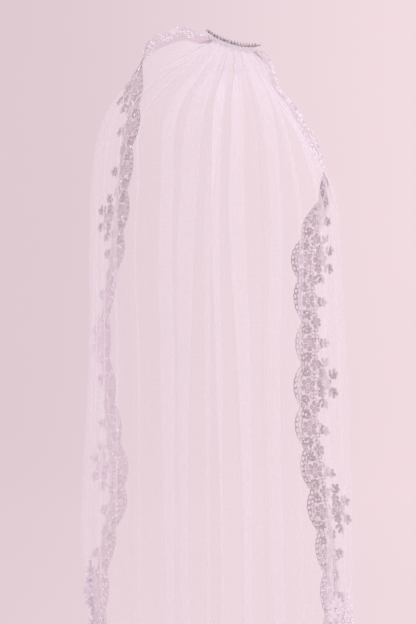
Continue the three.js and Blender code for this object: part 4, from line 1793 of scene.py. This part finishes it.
@dataclass
class Studio:
    """Camera, cove and soft lights, in metres but for the photo's own pixels and its scale."""

    photo_width: float = 416.0
    photo_height: float = 624.0
    mm_per_pixel: float = 1.33
    comb_column: float = 232.0
    comb_row: float = 42.0
    subject_y: float = -50.0
    distance: float = 3.2
    elevation: float = 3.0
    sensor: float = 36.0
    floor_height: float = -1.45
    floor_radius: float = 6.5
    wall_radius: float = 9.5
    wall_height: float = 9.0
    cove_steps: int = 14
    cove_sides: int = 96
    light_aim: tuple[float, float, float] = (-0.04, -0.06, -0.35)

    def make_camera(self) -> bpy.types.Object:
        """Stand the camera level with the side of the veil, a little above its middle.

        Returns:
            The camera.
        """
        data = bpy.data.cameras.new("studio_camera")
        camera = bpy.data.objects.new("studio_camera", data)
        bpy.context.scene.collection.objects.link(camera)
        target = Vector(((self.photo_width / 2 - self.comb_column) * self.mm_per_pixel * MM,
                         self.subject_y * MM,
                         -(self.photo_height / 2 - self.comb_row) * self.mm_per_pixel * MM))
        rise = math.radians(self.elevation)
        back = Vector((0.0, -math.cos(rise), math.sin(rise)))
        camera.location = target + back * self.distance
        camera.rotation_euler = (-back).to_track_quat("-Z", "Y").to_euler()
        half_height = self.photo_height / 2 * self.mm_per_pixel * MM
        data.sensor_width = self.sensor
        data.lens = self.sensor / 2 / (half_height / self.distance)
        bpy.context.scene.camera = camera
        return camera

    def make_cove(self) -> bpy.types.Object:
        """A round studio floor that sweeps up into a wall on every side, with a roof.

        Returns:
            The cove.
        """
        sweep = self.wall_radius - self.floor_radius
        bend = np.linspace(0, math.pi / 2, self.cove_steps)
        radius = np.concatenate([[0.02, 2.0, 4.5], self.floor_radius + sweep * np.sin(bend),
                                 [self.wall_radius, self.wall_radius * 0.7, 0.05]])
        rise = np.concatenate([[0, 0, 0], sweep * (1 - np.cos(bend)),
                               [self.wall_height, self.wall_height + 2.5, self.wall_height + 3.0]])
        turn = full_turn(self.cove_sides)
        rings = [np.column_stack([np.cos(turn) * r, np.sin(turn) * r,
                                  np.full(self.cove_sides, self.floor_height + z)])
                 for r, z in zip(radius, rise)]
        parts = MeshParts()
        parts.add(np.concatenate(rings), strip_faces(len(rings), self.cove_sides, True))
        cove = parts.make("studio_cove", [PalePinkCove().make()])
        return cove

    def make_lights(self) -> None:
        """Large soft lights before the veil and at its front, a low fill and a small lamp for sparks."""
        for softbox in SOFTBOXES:
            data = bpy.data.lights.new(softbox.name, "AREA")
            data.energy, data.size = softbox.power, softbox.size
            data.color = hex_linear(softbox.colour)[:3]
            light = bpy.data.objects.new(softbox.name, data)
            light.location = softbox.place
            aim = Vector(self.light_aim) - Vector(softbox.place)
            light.rotation_euler = aim.to_track_quat("-Z", "Y").to_euler()
            bpy.context.scene.collection.objects.link(light)

    def set_view(self) -> None:
        """Plain colours, and enough see-through surfaces along a ray for many layers of net."""
        scene = bpy.context.scene
        scene.view_settings.view_transform = "Standard"
        scene.cycles.transparent_max_bounces = 48
        world = bpy.data.worlds.new("studio_world")
        world.use_nodes = True
        world.node_tree.nodes["Background"].inputs["Color"].default_value = hex_linear("e6d4da")
        scene.world = world


def main() -> None:
    """Build the veil piece by piece."""
    logging.basicConfig(level=logging.INFO, format="%(message)s")
    studio = Studio()
    studio.make_camera()
    form = DrapeForm()
    LOG.info("drape form: %s rows and columns", form.size)
    back, front, hem = (EdgeMap(form, edge) for edge in (Edge.BACK, Edge.FRONT, Edge.HEM))
    sheet = TulleSheet(form, back, front, hem).build()
    LOG.info("tulle sheet: %d points, hem %.0f mm along", len(sheet.data.vertices), hem.length)
    cord = SatinCord().make()
    faces = [cord, StitchedCloth().make()]
    # Painted shade on the lace's reverse faces: darker high up and paler below; on the front border it stays
    # dark further down
    thin = ReversePaintedShade(colour="cdbac2", shade="beacb4", paler_painted_shade="e4d8df", cover=0.5)
    pale = [*faces, ReversePaintedShade().make("back_cord_painted_shade"), thin.make("back_petal_painted_shade")]
    low = {"painted_shade_fades_from": -0.62, "painted_shade_fades_to": -0.74}
    dark = [*faces,
            ReversePaintedShade(colour="bfadb3", shade="aa989f", **low).make("front_cord_painted_shade"),
            replace(thin, **low).make("front_petal_painted_shade")]
    borders = [
        LaceBorder(back, "lace_border_back", pale),
        LaceBorder(front, "lace_border_front", dark),
        LaceBorder(hem, "lace_border_hem", pale, start=30.0, stop=30.0, tall_sprays=CORNER_SPRAYS),
    ]
    laces = [border.build() for border in borders]
    for lace in laces:
        LOG.info("%s: %d faces", lace.name, len(lace.data.polygons))
    beads = BeadWork().build(borders)
    LOG.info("beads: %d faces", len(beads.data.polygons))
    heading = GatheredHeading().build()
    LOG.info("heading: %d points", len(heading.data.vertices))
    comb_work = CombWork(DarkSilverWire().make(), cord)
    comb_work.dress()
    winding = comb_work.build_winding()
    stitches = comb_work.build_stitches()
    LOG.info("comb: %d and %d faces", len(winding.data.polygons), len(stitches.data.polygons))
    rows, columns = form.size
    studio.make_cove()
    studio.make_lights()
    studio.set_view()
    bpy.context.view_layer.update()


if __name__ == "__main__":
    main()
